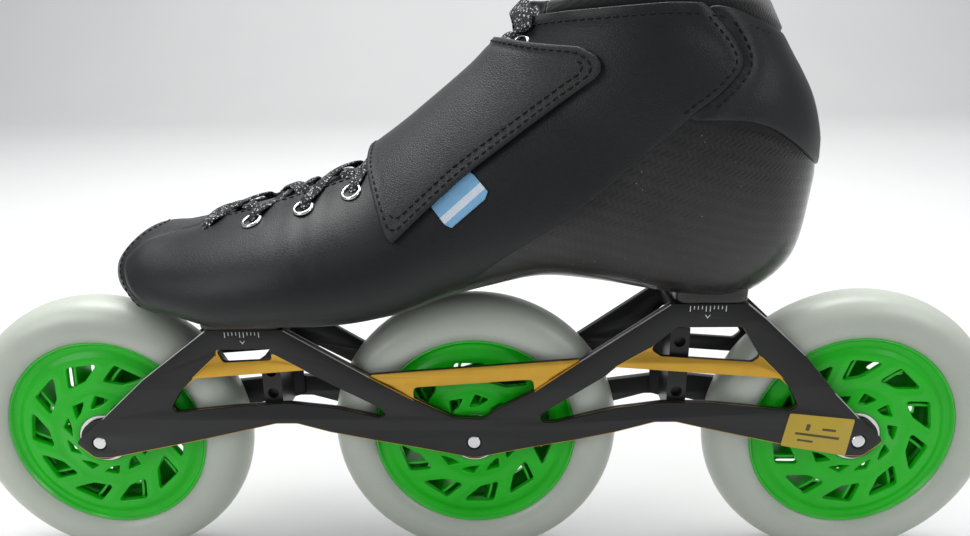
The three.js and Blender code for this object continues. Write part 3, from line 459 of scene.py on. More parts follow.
class Sheet:
    """A grid of points with normals that pieces are cut from."""

    def __init__(self, P, N, wrap):
        self.P, self.N, self.wrap = P, N, wrap
        nu, nv = P.shape[:2]
        i, k = np.meshgrid(np.arange(nu - 1), np.arange(nv if wrap else nv - 1), indexing="ij")
        k2 = (k + 1) % nv
        self.quads = np.stack([i * nv + k, i * nv + k2, (i + 1) * nv + k2, (i + 1) * nv + k], -1).reshape(-1, 4)
        self.p, self.n = P.reshape(-1, 3), N.reshape(-1, 3)

    def clip(self, f, level):
        """Points, normals, values and faces of the part where f > level, and its boundary edges."""
        f = np.asarray(f, float).reshape(-1) - level
        f = np.where(np.abs(f) < 1e-6, 1e-6, f)
        fq = f[self.quads]
        full = self.quads[(fq > 0).all(1)]
        mixed = self.quads[(fq > 0).any(1) & ~(fq > 0).all(1)]
        used, inv = np.unique(full, return_inverse=True)
        remap = dict(zip(used.tolist(), range(len(used))))
        P, N = [self.p[used]], [self.n[used]]
        src = list(zip(used.tolist(), used.tolist(), [0.0] * len(used)))
        faces = inv.reshape(-1, 4).tolist()
        extra, count = {}, len(used)
        for q in mixed.tolist():
            poly = []
            for j in range(4):
                a, b = q[j], q[(j + 1) % 4]
                if f[a] > 0:
                    if a not in remap:
                        remap[a] = count
                        src.append((a, a, 0.0))
                        count += 1
                    poly.append(remap[a])
                if (f[a] > 0) != (f[b] > 0):
                    key = (min(a, b), max(a, b))
                    if key not in extra:
                        t = f[key[0]] / (f[key[0]] - f[key[1]])
                        extra[key] = count
                        src.append((key[0], key[1], float(t)))
                        count += 1
                    poly.append(extra[key])
            if len(poly) > 2:
                faces.append(poly)
        src = np.array(src)
        a, b, t = src[:, 0].astype(int), src[:, 1].astype(int), src[:, 2][:, None]
        self.src = (a, b, t[:, 0])
        P = self.p[a] * (1 - t) + self.p[b] * t
        N = self.n[a] * (1 - t) + self.n[b] * t
        N /= np.linalg.norm(N, axis=1)[:, None]
        edges = {}
        for face in faces:
            for j in range(len(face)):
                e = (face[j], face[(j + 1) % len(face)])
                if (e[1], e[0]) in edges:
                    del edges[(e[1], e[0])]
                else:
                    edges[e] = 1
        return P, N, faces, list(edges)

    def sample(self, field):
        a, b, t = self.src
        g = np.asarray(field, float).reshape(-1)
        return g[a] * (1 - t) + g[b] * t

    def patch(self, f, top, bottom, r=0.8, rounding="top", steps=3):
        """A closed body over the part where f > 0: top and bottom are heights over the sheet (numbers or fields), with edges rounded by r."""
        P, N, faces, edges = self.clip(f, r)
        h = self.sample(top) if np.ndim(top) else np.full(len(P), float(top))
        g = self.sample(bottom) if np.ndim(bottom) else np.full(len(P), float(bottom))
        out = np.zeros_like(P)
        for a, b in edges:
            d = np.cross(P[b] - P[a], N[a])
            d /= np.linalg.norm(d) + 1e-12
            out[a] += d
            out[b] += d
        out /= np.linalg.norm(out, axis=1)[:, None] + 1e-12
        rim = sorted({v for e in edges for v in e})
        idx = {v: i for i, v in enumerate(rim)}
        R_ = np.array(rim)
        rows = []
        if rounding == "top":
            for s in range(1, steps + 1):
                a = s / steps * math.pi / 2
                rows.append((r * math.sin(a), lambda hh, gg, a=a: hh - r * (1 - math.cos(a))))
            rows.append((r, lambda hh, gg: gg))
        else:
            for s in range(1, 2 * steps):
                a = s / (2 * steps) * math.pi
                rows.append((r * math.sin(a), lambda hh, gg, a=a: (hh + gg) / 2 + (hh - gg) / 2 * math.cos(a)))
        V = [P + N * h[:, None]]
        n = len(P)
        for o_, fn in rows:
            V.append(P[R_] + out[R_] * o_ + N[R_] * fn(h[R_], g[R_])[:, None])
        base = n + len(rows) * len(rim)
        V.append(P + N * g[:, None])
        F = [list(x) for x in faces]
        tag = [0] * len(F)
        for a, b in edges:
            chain_a = [a] + [n + k * len(rim) + idx[a] for k in range(len(rows))] + [base + a]
            chain_b = [b] + [n + k * len(rim) + idx[b] for k in range(len(rows))] + [base + b]
            for k in range(len(chain_a) - 1):
                F.append([chain_b[k], chain_a[k], chain_a[k + 1], chain_b[k + 1]])
                tag.append(0 if k < len(rows) else 1)
        F += [[base + v for v in reversed(x)] for x in faces]
        tag += [1] * len(faces)
        return np.concatenate(V), F, tag

    def contour(self, f, level, keep=None, height=0.0):
        """The lines where f = level, as lists of (point, normal)."""
        P, N, faces, edges = self.clip(f, level)
        K = np.ones(len(P), bool) if keep is None else self.sample(keep) > 0
        h = self.sample(height) if np.ndim(height) else np.full(len(P), float(height))
        nxt = {a: b for a, b in edges}
        prev = {b: a for a, b in edges}
        lines, seen = [], set()
        starts = [a for a in nxt if a not in prev] + list(nxt)
        for s in starts:
            if s in seen:
                continue
            line, v = [], s
            while v is not None and v not in seen:
                seen.add(v)
                line.append(v)
                v = nxt.get(v)
            if v == s:
                line.append(s)
            run = []
            for v in line:
                if K[v]:
                    run.append(v)
                elif run:
                    lines.append(run)
                    run = []
            if run:
                lines.append(run)
        return [(P[l] + N[l] * h[l][:, None], N[l]) for l in lines if len(l) > 3]


def resample(line, normals, step, skip=0.0):
    L = np.concatenate([[0], np.cumsum(np.linalg.norm(np.diff(line, axis=0), axis=1))])
    keep = np.concatenate([[True], np.diff(L) > 1e-6])
    line, normals, L = line[keep], normals[keep], L[keep]
    if L[-1] < step + 2 * skip:
        return np.zeros((0, 3)), np.zeros((0, 3)), 0
    n = max(2, int(round((L[-1] - 2 * skip) / step)) + 1)
    s = np.linspace(skip, L[-1] - skip, n)
    Q = np.stack([np.interp(s, L, line[:, c]) for c in range(3)], -1)
    W = np.stack([np.interp(s, L, normals[:, c]) for c in range(3)], -1)
    return Q, W / np.linalg.norm(W, axis=1)[:, None], s[1] - s[0]


def stitch_mesh(lines, pitch=3.0, length=2.3, width=0.75, height=0.5, lift=0.05):
    """Rows of thread stitches that lie along lines of (points, normals)."""
    parts = []
    nu_, nv_ = 6, 6
    for line, normals in lines:
        k = np.ones(5) / 5
        if len(line) > 12:
            pad = np.concatenate([np.repeat(line[:1], 2, 0), line, np.repeat(line[-1:], 2, 0)])
            line = np.stack([np.convolve(pad[:, c], k, "valid") for c in range(3)], -1)
        Q, W, _ = resample(line, normals, pitch, 1.0)
        for i in range(len(Q) - 1):
            c = (Q[i] + Q[i + 1]) / 2
            t = Q[i + 1] - Q[i]
            t /= np.linalg.norm(t)
            w = W[i] - t * (W[i] @ t)
            w /= np.linalg.norm(w)
            s = np.cross(w, t)
            V = []
            for a in np.linspace(-1, 1, nu_):
                fat = math.sqrt(max(0.0, 1 - abs(a) ** 2.6)) * 0.92 + 0.08
                for b in range(nv_):
                    ang = b / nv_ * 2 * math.pi
                    V.append(c + t * a * length / 2 + s * math.cos(ang) * width / 2 * fat + w * (math.sin(ang) * height / 2 * fat + lift + 0.16 * (1 - a * a)))
            F = [[j * nv_ + b, j * nv_ + (b + 1) % nv_, (j + 1) * nv_ + (b + 1) % nv_, (j + 1) * nv_ + b] for j in range(nu_ - 1) for b in range(nv_)]
            F += [[b for b in reversed(range(nv_))], [(nu_ - 1) * nv_ + b for b in range(nv_)]]
            parts.append((V, F, 0))
    return join_parts(parts)


def ribbon(points, normals, width, thick, seg=14, power=2.6, twist=None):
    """A flat braid along points; normals say which way its face looks."""
    P, N = np.asarray(points, float), np.asarray(normals, float)
    T = np.gradient(P, axis=0)
    T /= np.linalg.norm(T, axis=1)[:, None]
    N = N - T * (N * T).sum(1)[:, None]
    N /= np.linalg.norm(N, axis=1)[:, None]
    S = np.cross(N, T)
    W = np.full(len(P), float(width)) if np.ndim(width) == 0 else np.asarray(width, float)
    a = np.arange(seg) / seg * 2 * math.pi
    ca, sa = np.cos(a), np.sin(a)
    ca, sa = np.sign(ca) * np.abs(ca) ** (2 / power), np.sign(sa) * np.abs(sa) ** (2 / power)
    V = P[:, None] + S[:, None] * (ca[None, :, None] * W[:, None, None] / 2) + N[:, None] * (sa[None, :, None] * thick / 2)
    n = len(P)
    F = [[i * seg + k, i * seg + (k + 1) % seg, (i + 1) * seg + (k + 1) % seg, (i + 1) * seg + k] for i in range(n - 1) for k in range(seg)]
    F += [[k for k in reversed(range(seg))], [(n - 1) * seg + k for k in range(seg)]]
    return V.reshape(-1, 3), F


def smooth_path(points, step=1.0):
    """Catmull-Rom through the points, evenly spaced."""
    P = np.array(points, float)
    P = np.concatenate([[2 * P[0] - P[1]], P, [2 * P[-1] - P[-2]]])
    out = []
    for i in range(1, len(P) - 2):
        for t in np.linspace(0, 1, 16, endpoint=False):
            a, b, c, d = P[i - 1], P[i], P[i + 1], P[i + 2]
            out.append(0.5 * ((2 * b) + (c - a) * t + (2 * a - 5 * b + 4 * c - d) * t * t + (3 * b - a - 3 * c + d) * t ** 3))
    out.append(P[-2])
    out = np.array(out)
    L = np.concatenate([[0], np.cumsum(np.linalg.norm(np.diff(out, axis=0), axis=1))])
    s = np.linspace(0, L[-1], max(4, int(L[-1] / step)))
    return np.stack([np.interp(s, L, out[:, c]) for c in range(3)], -1)


# ------------------------------------------------------------------ the boot's surface
# Top point x, z; bottom point x, z; half widths to the outer and inner side; centre y; height of the widest point; roundness above and below.
STATIONS = np.array([
    [-149.3, 141.6, -149.3, 135.6, 8, 8, 8, 0.5, 2, 1.912],
    [-141.0, 149.3, -141.2, 128.9, 26.0, 23.0, 7.6, 0.45, 2, 1.983],
    [-135.0, 153.3, -135.2, 125.1, 33.5, 29.0, 6.8, 0.42, 2, 2.088],
    [-128.6, 155.0, -128.6, 122.3, 39.0, 34.0, 5.6, 0.4, 2.05, 2.255],
    [-115.6, 156.7, -115.6, 121.5, 44.0, 39.0, 4, 0.38, 2.05, 2.24],
    [-96.1, 162.5, -96.1, 118.6, 48.2, 45.2, 1.8, 0.36, 1.97, 2.587],
    [-71.8, 169.9, -71.8, 119.2, 49.2, 48.4, 0.4, 0.35, 1.9, 2.613],
    [-57.5, 174.6, -56.0, 118.9, 47.6, 48.0, 0, 0.34, 1.85, 2.662],
    [-46.0, 179.0, -41.0, 119.7, 45.2, 46.0, 0, 0.34, 1.8, 2.615],
    [-35.0, 185.0, -26.0, 122.4, 42.6, 43.0, 0, 0.34, 1.8, 2.637],
    [-24.0, 192.4, -9, 127.6, 40.4, 40.0, 0, 0.35, 1.85, 2.44],
    [-13.0, 200.8, 9, 131.9, 38.6, 38.0, 0, 0.36, 1.85, 2.425],
    [-3, 208.6, 29.4, 135.3, 37.4, 37.0, 0, 0.38, 1.9, 2.4],
    [5, 215.2, 51.4, 132.9, 36.8, 36.8, 0, 0.42, 1.95, 2.4],
    [11.0, 221.2, 75.1, 128.5, 36.6, 36.8, 0, 0.46, 2, 2.5],
    [15.4, 226.4, 96.3, 125.2, 36.6, 37.0, 0, 0.5, 2, 2.5],
    [18.4, 230.2, 113.2, 126.5, 37.0, 37.4, 0, 0.52, 2.05, 2.3],
    [21.0, 233.6, 129.9, 141.8, 37.8, 38.0, 0, 0.53, 2.1, 2.2],
    [23.4, 237.6, 135.0, 169.0, 38.2, 38.2, 0, 0.53, 2.1, 2.1],
    [24.2, 240.0, 134.8, 184.6, 38.0, 38.0, 0, 0.52, 2.15, 2.1],
    [24.8, 243.0, 130.3, 201.2, 37.4, 37.4, 0, 0.52, 2.15, 2.1],
    [25.2, 247.0, 121.8, 216.4, 36.4, 36.4, 0, 0.52, 2.2, 2.1],
    [26.0, 258.0, 106.7, 243.0, 35.4, 35.4, 0, 0.52, 2.2, 2.1],
])
TIP = np.array([-149.8, 8, 138.6])


def station_curve(per=7):
    S = np.concatenate([[2 * STATIONS[0] - STATIONS[1]], STATIONS, [2 * STATIONS[-1] - STATIONS[-2]]])
    out = []
    for i in range(1, len(S) - 2):
        a, b, c, d = S[i - 1:i + 3]
        for t in np.arange(per) / per:
            out.append(0.5 * (2 * b + (c - a) * t + (2 * a - 5 * b + 4 * c - d) * t * t + (3 * b - a - 3 * c + d) * t ** 3))
    return np.array(out + [STATIONS[-1]])


def boot_sheet(per=7, nv=168):
    S = station_curve(per)
    a = np.arange(nv) / nv * 2 * math.pi
    s, c = np.sin(a), np.cos(a)
    tx, tz, bx, bz, wl, wm, yc, hm, nu_, nl = (S[:, k][:, None] for k in range(10))
    n = np.where(s >= 0, nu_, nl)
    e, f = np.abs(s) ** (2 / n), np.abs(c) ** (2 / n)
    h = np.where(s >= 0, hm + (1 - hm) * e, hm - hm * e)
    P = np.stack([bx + (tx - bx) * h, yc + np.where(c < 0, -wl, wm) * f, bz + (tz - bz) * h], -1)
    # a few smaller rings close the toe
    caps = [TIP + (P[0] - TIP) * k + np.array([1.0, 0, 0]) * 0.25 * (k ** 2 - k) for k in (0.04, 0.3, 0.6, 0.82)]
    P = np.concatenate([np.array(caps), P])
    for _ in range(2):  # soften the sharp turns that the section formula leaves at its widest and highest points
        P = 0.5 * P + 0.25 * (np.roll(P, 1, 1) + np.roll(P, -1, 1))
    along = np.gradient(P, axis=0)
    around = np.roll(P, -1, 1) - np.roll(P, 1, 1)
    N = np.cross(around, along)
    N /= np.linalg.norm(N, axis=2)[:, :, None] + 1e-12
    return Sheet(P, N, True)


BOOT = boot_sheet()
X, Y, Z = BOOT.P[..., 0], BOOT.P[..., 1], BOOT.P[..., 2]

SOLE_EDGE = [(-156, 137.2), (-146, 132), (-136, 128.2), (-120, 124.8), (-100, 122.4), (-60, 122.4), (-42, 123.4), (-28, 126.8), (-14, 132), (-0.3, 138.3), (13.6, 149.4),
             (35.1, 162.6), (49.5, 173.3), (65.2, 187.9), (78, 198), (88, 197.8), (99.5, 197.4), (109.3, 194.3), (118.6, 188.7), (127.7, 182.2), (148, 170)]
TOE_SEAM = [(-96, 170), (-98.5, 162.8), (-106.4, 158.4), (-119.3, 155.1), (-130.5, 152.3), (-136.9, 147), (-136.9, 142.6), (-132.9, 137.1), (-126.4, 132), (-118, 126), (-112, 116)]
ANKLE_SEAM = [(81.9, 262), (81.9, 235), (88.8, 229.4), (94.4, 222.8), (97, 216.1), (92.6, 210.7), (86.9, 205.2), (79, 199.8), (73.5, 194)]
COLLAR_EDGE = [(-170, 230), (0, 230), (20, 232.6), (31.8, 234.3), (50, 235.4), (70.7, 236.6), (82, 236), (94, 233.6), (104, 230), (125, 222), (150, 214)]
RIM_EDGE = [(0, 238), (30, 239.4), (60, 241.2), (85, 240.4), (130, 236.6)]
FLAP = [(-27.6, 154.8, 1.5), (-30, 159.4, 5), (-34.5, 171.9, 20), (-37.1, 179, 10), (-37.6, 186), (-40, 205), (-10, 240), (6, 229), (10.5, 224.6, 4), (25.6, 223.2, 20), (41.4, 222.6, 5),
        (47.2, 219.4, 3), (48.9, 215.6, 3), (46.9, 212.4, 3), (30.4, 200.4, 30), (15, 189.3, 30), (-0.9, 177.9, 30), (-14.1, 166.8, 30)]
THROAT = [(-100, -8, 4), (-90, -13, 4), (-44, -13.5), (0, -11), (40, -9.5), (40, 9.5), (0, 11), (-44, 13.5), (-90, 14.5, 4), (-100, 11, 4)]
ROWS = [(-102.9, -19, 21), (-82.5, -25.4, 26), (-62, -26.4, 27), (-43.7, -24.3, 24.6), (-27.5, -22, 22), (-12, -20, 20), (4, -18, 18), (20.5, -15.6, 15.6)]


def spline2(points, r=6):
    """An open polyline with its corners eased."""
    out = [points[0]]
    for i in range(1, len(points) - 1):
        a, q, b = (np.array(points[j][:2], float) for j in (i - 1, i, i + 1))
        la, lb = np.linalg.norm(a - q), np.linalg.norm(b - q)
        d = min(r, 0.45 * la, 0.45 * lb)
        p0, p2 = q + (a - q) / la * d, q + (b - q) / lb * d
        for k in range(5):
            t = k / 4
            out.append(tuple((1 - t) ** 2 * p0 + 2 * t * (1 - t) * q + t * t * p2))
    out.append(points[-1])
    return out


sole_line, toe_line, ankle_line = spline2(SOLE_EDGE, 9), spline2(TOE_SEAM, 6), spline2(ANKLE_SEAM, 5)
s_above = sdf(sole_line + [(148, 300), (-156, 300)], X, Z)  # over the carbon's edge
s_toe = sdf(toe_line + [(-170, 116), (-170, 190), (-96, 190)], X, Z)  # in front of the toe seam
s_heel = sdf(ankle_line + [(170, 150), (170, 262)], X, Z)  # behind the ankle seam
s_under = sdf(spline2(COLLAR_EDGE, 6) + [(150, 60), (-170, 60)], X, Z)
s_throat = np.where(Z > 140, sdf(fillet(THROAT, 3), X, Y), -50.0)
s_flap = sdf(fillet(FLAP, 6, 5), X, Z)

# the flap's hinge, as in the frame's joint
joint = [j for j in frame["joints"] if j["name"] == "closure_flap_hinge"][0]
H0 = np.array(joint["pos_m"]) * 1000
HD = -np.array(joint["axis"])
HD /= np.linalg.norm(HD)
near = np.argsort(((BOOT.p - H0 - HD * 26) ** 2).sum(1))[:6]
HOUT = BOOT.n[near].mean(0)
HOUT -= HD * (HOUT @ HD)
HOUT /= np.linalg.norm(HOUT)
HDOWN = np.cross(HD, HOUT)
if HDOWN[2] > 0:
    HDOWN = -HDOWN
s_hinge = -((BOOT.P - H0) @ HDOWN)  # over the hinge line

GAP2 = 0.12


def part(name, f, top, bottom, mats, r=0.8, rounding="top", body=ROOT, replaces=(), inner=None, steps=3):
    V, F, tag = BOOT.patch(f, top, bottom, r, rounding, steps)
    mats = mats if isinstance(mats, (list, tuple)) else [mats]
    tag = tag if len(mats) > 1 else [0] * len(F)
    o = make_object(name, V, F, mats, tag, body=body, replaces=replaces)
    fix_normals(o)
    return o


def waves(field, centre, width, height):
    """A soft ridge along field = centre."""
    return height * np.exp(-((field - centre) / width) ** 2)


rng = np.random.default_rng(7)


def lumps(scale, amount, seed):
    """Slow, smooth unevenness over the boot."""
    g = np.random.default_rng(seed)
    out = np.zeros_like(X)
    for _ in range(14):
        k = g.normal(size=3) / scale
        out += np.sin(X * k[0] + Y * k[1] + Z * k[2] + g.uniform(0, 6.28))
    return out / 14 ** 0.5 * amount


# creases across the ball, where the shoe bends, and soft unevenness of hand-lasted leather
crease = np.zeros_like(X)
for cx, hgt, wd in ((-66, 0.28, 2.6), (-57, 0.34, 2.8), (-48.5, 0.22, 2.4)):
    crease -= hgt * np.exp(-(((X - cx) + 0.35 * (Z - 150) + 2.2 * np.sin(Y * 0.11)) / wd) ** 2) * smoothstep((Z - 136) / 18)
skin = 0.55 + lumps(26, 0.12, 3) + crease
skin_edge = lambda f, w=3.0, dip=0.35: -dip * (1 - smoothstep(f / w))
f_toe = np.minimum.reduce([s_above - GAP2, s_toe + 1.6])
f_quarter = np.minimum.reduce([s_above - GAP2, -s_toe - GAP2, -s_heel - GAP2, s_under, -s_throat])
f_heel = np.minimum.reduce([s_above - GAP2, s_heel + 1.8, s_under])
tuck = lambda f: -0.95 * smoothstep(-f / 0.45)

part("visual_toe_cap", f_toe, skin + 0.1 + skin_edge(s_toe, 2.2, 0.55) + skin_edge(s_above, 2, 0.25) + tuck(s_toe), -3.2, [M_LEATHER, M_LINING], 0.4, replaces=["toe_cap"])
for side, name in ((-1, "outer"), (1, "inner")):
    mask = np.minimum(f_quarter, np.where(side * Y > 0, 50.0, -50.0) if False else side * Y + 0.0)
    pad = waves(s_heel, -3.2, 2.0, 0.55) * smoothstep((X - 60) / 20) * smoothstep((Z - 197) / 6)
    turned_edge = waves(s_throat, -2.2, 1.7, 0.4) + waves(s_under, 2.4, 1.8, 0.5)
    part("visual_quarter_" + name, mask, skin + pad + turned_edge + skin_edge(-s_toe, 1.5, 0.2) + waves(-s_toe, 2.2, 1.3, 0.3) + skin_edge(s_above, 2, 0.25) + skin_edge(-s_heel, 1.4, 0.3), -3.2,
         [M_LEATHER, M_LINING], 0.45, replaces=["quarter_" + name])
heel_top = 0.55 + lumps(20, 0.14, 5) + waves(s_heel, 3.6, 2.4, 0.8) + skin_edge(s_heel, 1.8, 0.6) + waves(s_above, 2.4, 1.8, 0.35) + waves(s_under, 2.4, 1.8, 0.4) + 1.1 * smoothstep((s_heel - 4) / 14) * smoothstep(s_under / 10) * smoothstep(s_above / 8) + tuck(s_heel)
part("visual_heel_cuff", f_heel, heel_top, -3.2, [M_LEATHER, M_LINING], 0.7, replaces=["heel_cuff"])

# carbon base, with the pads that the frame bolts to
base_top = 0.0 + lumps(30, 0.05, 9) - 0.25 * (1 - smoothstep(-s_above / 2.5))
V1, F1, T1 = BOOT.patch(-s_above + 2.6, base_top, -3.2, 0.3, "top", 2)


def pad_block(x0, x1, z0, z1, y=18.0, r=3.0, flare=0.0, z_flare=0.0):
    outline = fillet([(x0, -y, r), (x1, -y, r), (x1, y, r), (x0, y, r)], r, 5)
    C = np.array([(x0 + x1) / 2, 0])
    levels = [(0.9, z0), (0.35, z0 + 0.15), (0.0, z0 + 0.9)]
    levels += [(-flare * (1 - math.cos(t * math.pi / 2)), z0 + 0.9 + (z1 - z0 - 0.9) * math.sin(t * math.pi / 2) ** 0.8) for t in np.linspace(0.12, 1, 9)]
    rings = []
    for shrink, z in levels:
        q = np.array(outline)
        d = q - C
        q = C + d * (1 - shrink / np.linalg.norm(d, axis=1)[:, None])
        rings.append(np.column_stack([q, np.full(len(q), z)]))
    n, m_ = len(outline), len(rings)
    V = np.concatenate(rings)
    F = [[i * n + k, i * n + (k + 1) % n, (i + 1) * n + (k + 1) % n, (i + 1) * n + k] for i in range(m_ - 1) for k in range(n)]
    F += [[k for k in reversed(range(n))], [(m_ - 1) * n + k for k in range(n)]]
    return V, F


V2_, F2 = pad_block(-113, -78, 115.0, 120.6, r=5.0, flare=2.5)
V3, F3 = pad_block(82, 112, 125.0, 132.0, r=6.0, flare=0.6)
Vb, Fb, _ = join_parts([(V1, F1, 0), (V2_, F2, 0), (V3, F3, 0)])
o = make_object("visual_boot_shell", Vb, Fb, [M_CARBON, M_LINING], T1 + [0] * (len(F2) + len(F3)), replaces=["boot_shell", "heel_cup"])
fix_normals(o)

# ------------------------------------------------------------------ tongue, collar, insole
tongue_zone = sdf([(-112, 150), (-60, 156), (-30, 168), (0, 190), (14, 206), (48, 215), (48, 240.5), (12, 239), (-20, 232), (-112, 190)], X, Z)
tongue_plan = sdf([(-112, -20), (-44, -22), (0, -18), (24, -12.5), (46, -12.5), (46, 12.5), (24, 12.5), (0, 18), (-44, 22), (-112, 22)], X, Y)
f_tongue = np.minimum(tongue_zone, tongue_plan)
swell = smoothstep((s_throat + 1) / 7)
quilt = 0.25 * np.cos((X * 0.75 + Z * 0.6) * 0.42)
tongue = part("visual_tongue", f_tongue, -3.7 + (2.6 + quilt) * swell + 1.6 * smoothstep((Z - 225) / 8) * swell, -6.4 - 0.8 * swell, M_TONGUE, 1.3, "both", replaces=["tongue"], steps=4)

collar_zone = sdf(RIM_EDGE + [(140, 200), (112, 200), (70, 198), (50, 204), (30, 214), (20, 222)], X, Z)
front_gap = np.where(X < 60, np.abs(Y) - 15.2, 50.0)
f_collar = np.minimum(collar_zone, front_gap)
puff = smoothstep(f_collar / 7)
rim_gap = RIM_EDGE + [(150, 60), (0, 60)]
to_rim = sdf(RIM_EDGE + [(150, 236), (150, 60), (-20, 60), (-20, 237)], X, Z)
collar = part("visual_collar_padding", f_collar, -3.55 + (2.5 + 2.6 * smoothstep((X - 84) / 18)) * smoothstep((2.5 - s_under) / 4), -7.0 - 1.9 * puff - 0.5 * waves(to_rim, 16, 3, -1), M_LINING, 2.0, "both", replaces=["collar_padding"], steps=5)


def insole_piece():
    node = frame["nodes"]["insole"]
    bm = bmesh.new()
    bm.from_mesh(node.data)
    me = bpy.data.meshes.new("visual_insole")
    bm.to_mesh(me)
    bm.free()
    o_ = bpy.data.objects.new("visual_insole", me)
    SCENE.collection.objects.link(o_)
    for kind, kw in (("REMESH", dict(mode="VOXEL", voxel_size=0.0016)), ("SMOOTH", dict(factor=0.6, iterations=6))):
        md = o_.modifiers.new(kind.lower(), kind)
        for k_, v_ in kw.items():
            setattr(md, k_, v_)
    dg = bpy.context.evaluated_depsgraph_get()
    new = bpy.data.meshes.new_from_object(o_.evaluated_get(dg))
    o_.modifiers.clear()
    o_.data = new
    new.materials.clear()
    new.materials.append(M_INSOLE)
    new.polygons.foreach_set("use_smooth", np.ones(len(new.polygons), bool))
    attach(o_, ROOT)
    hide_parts("insole")
    return o_


insole_piece()

# ------------------------------------------------------------------ strap flap, its sewn strip and tab
f_flap = np.minimum(s_flap, s_hinge - 1.7)
flap_top = 4.1 + lumps(24, 0.1, 11) + waves(f_flap, 1.8, 1.2, 0.22) - waves(s_flap, 3.1, 1.0, 0.35)
part("visual_closure_flap", f_flap, flap_top, 2.35, [M_FLAP, M_SUEDE], 0.7, body="closure", replaces=["closure_flap"])
f_anchor = np.minimum.reduce([s_flap, -s_hinge - 3, s_hinge + 24, np.where(Y > 0, 33 - X, -50.0)])
part("visual_flap_anchor", f_anchor, 1.9 + waves(f_anchor, 1.8, 1.2, 0.1), 0.62, [M_FLAP, M_SUEDE], 0.5, replaces=["flap_anchor"])
f_tab = np.where(Y < 0, sdf(fillet([(3.4, 179.1, 0.6), (8.9, 172.8, 0.6), (-6.4, 160.5, 0.6), (-13.5, 169.5), (1.4, 181.4)], 0.4, 3), X, Z), -50)
part("visual_flap_tab", f_tab, 1.75 + waves(f_tab, 1.2, 0.7, 0.15), 0.62, M_TAB, 0.35, body="closure", replaces=["flap_tab"])

# ------------------------------------------------------------------ stitching
BIG = 1e3
low_edge = sdf([(-40, 140), (-22, 152), (60, 220), (60, 140)], X, Z)  # the flap's long lower edge is near here
on_lower = np.where((Y < 0), 14 - np.abs(((X + 27.6) * -0.612 + (Z - 154.8) * 0.79)), -1.0)
lines = BOOT.contour(s_flap, 2.0, np.where(s_hinge > 3, 1.0, -1.0), flap_top)
V, F, _ = stitch_mesh(lines, 3.1, 2.4, 0.8, 0.5, 0.0)
make_object("stitches_flap_edge", V, F, M_THREAD, body="closure")
lines = BOOT.contour(s_flap, 4.3, np.minimum(on_lower - 4, s_hinge - 3), flap_top)
V, F, _ = stitch_mesh(lines, 3.1, 2.4, 0.8, 0.5, 0.0)
make_object("stitches_flap_second", V, F, M_THREAD, body="closure")
V, F, _ = stitch_mesh(BOOT.contour(f_anchor, 2.6, None, 1.95), 3.1, 2.4, 0.8, 0.5, 0.0)
make_object("stitches_anchor", V, F, M_THREAD)
root_lines = BOOT.contour(-s_heel, 2.6, np.minimum(s_above - 3, s_under - 2), skin + 0.5)
root_lines += BOOT.contour(s_heel, 2.4, np.minimum(s_above - 3, s_under - 2), heel_top)
root_lines += BOOT.contour(s_toe, 2.2, s_above - 3, skin + 0.15)
root_lines += BOOT.contour(-s_throat, 2.6, np.minimum(-s_toe - 2, s_under - 2), skin + 0.35)
root_lines += BOOT.contour(s_under, 3.4, np.minimum(-s_throat - 3, np.where(X > 10, 1.0, -1.0)), skin + 0.45)
V, F, _ = stitch_mesh(root_lines, 3.0, 2.2, 0.7, 0.45, 0.0)
make_object("stitches_upper", V, F, M_THREAD)

# ------------------------------------------------------------------ eyelets and laces
bvh = BVHTree.FromPolygons((BOOT.p).tolist(), BOOT.quads.tolist())


def on_top(x, y):
    """The surface point under (x, y) and its smooth normal."""
    sel = (BOOT.p[:, 2] > 150) & (BOOT.n[:, 2] > 0.05)
    d = (BOOT.p[:, 0] - x) ** 2 + (BOOT.p[:, 1] - y) ** 2 + np.where(sel, 0, 1e6)
    near_ = np.argsort(d)[:9]
    w = 1 / (d[near_] + 0.05)
    n_ = (BOOT.n[near_] * w[:, None]).sum(0)
    n_ /= np.linalg.norm(n_)
    p0 = (BOOT.p[near_] * w[:, None]).sum(0) / w.sum()
    z = p0[2] - ((x - p0[0]) * n_[0] + (y - p0[1]) * n_[1]) / n_[2]
    return np.array([x, y, z]), n_


def placed(V, origin, normal):
    q = Vector((0, 1, 0)).rotation_difference(Vector(normal)).to_matrix()
    return np.asarray(V) @ np.array(q).T + origin


ring_profile = [(3.0, -0.2), (2.88, 0.35), (2.95, 0.8), (3.15, 1.1), (3.45, 1.22), (3.8, 1.12), (4.1, 0.88), (4.28, 0.58), (4.28, 0.25)]
# a flat disc inside each eyelet carries the painted shade of the hole
hole_profile = [(0.0, -0.1), (1.8, -0.1), (2.85, 0.0), (3.02, 0.2), (3.02, -0.5), (0.0, -0.5)]
for i, (x, yo, yi) in enumerate(ROWS[1:]):
    for side, y in (("outer", yo), ("inner", yi)):
        p, n_ = on_top(x, y)
        V, F = lathe(ring_profile, (0, 0), 28, closed=True)
        Vh, Fh = lathe(hole_profile, (0, 0), 20, closed=False)
        V, F, I = join_parts([(placed(V, p + n_ * 0.45, n_), F, 0), (placed(Vh, p + n_ * 0.5, n_), Fh, 1)])
        o = make_object(f"visual_eyelet_{side}_{i + 1}", V, F, [M_EYELET, M_HOLE], I, replaces=[f"eyelet_{side}_{i + 1}"])
        fix_normals(o)

parts = []


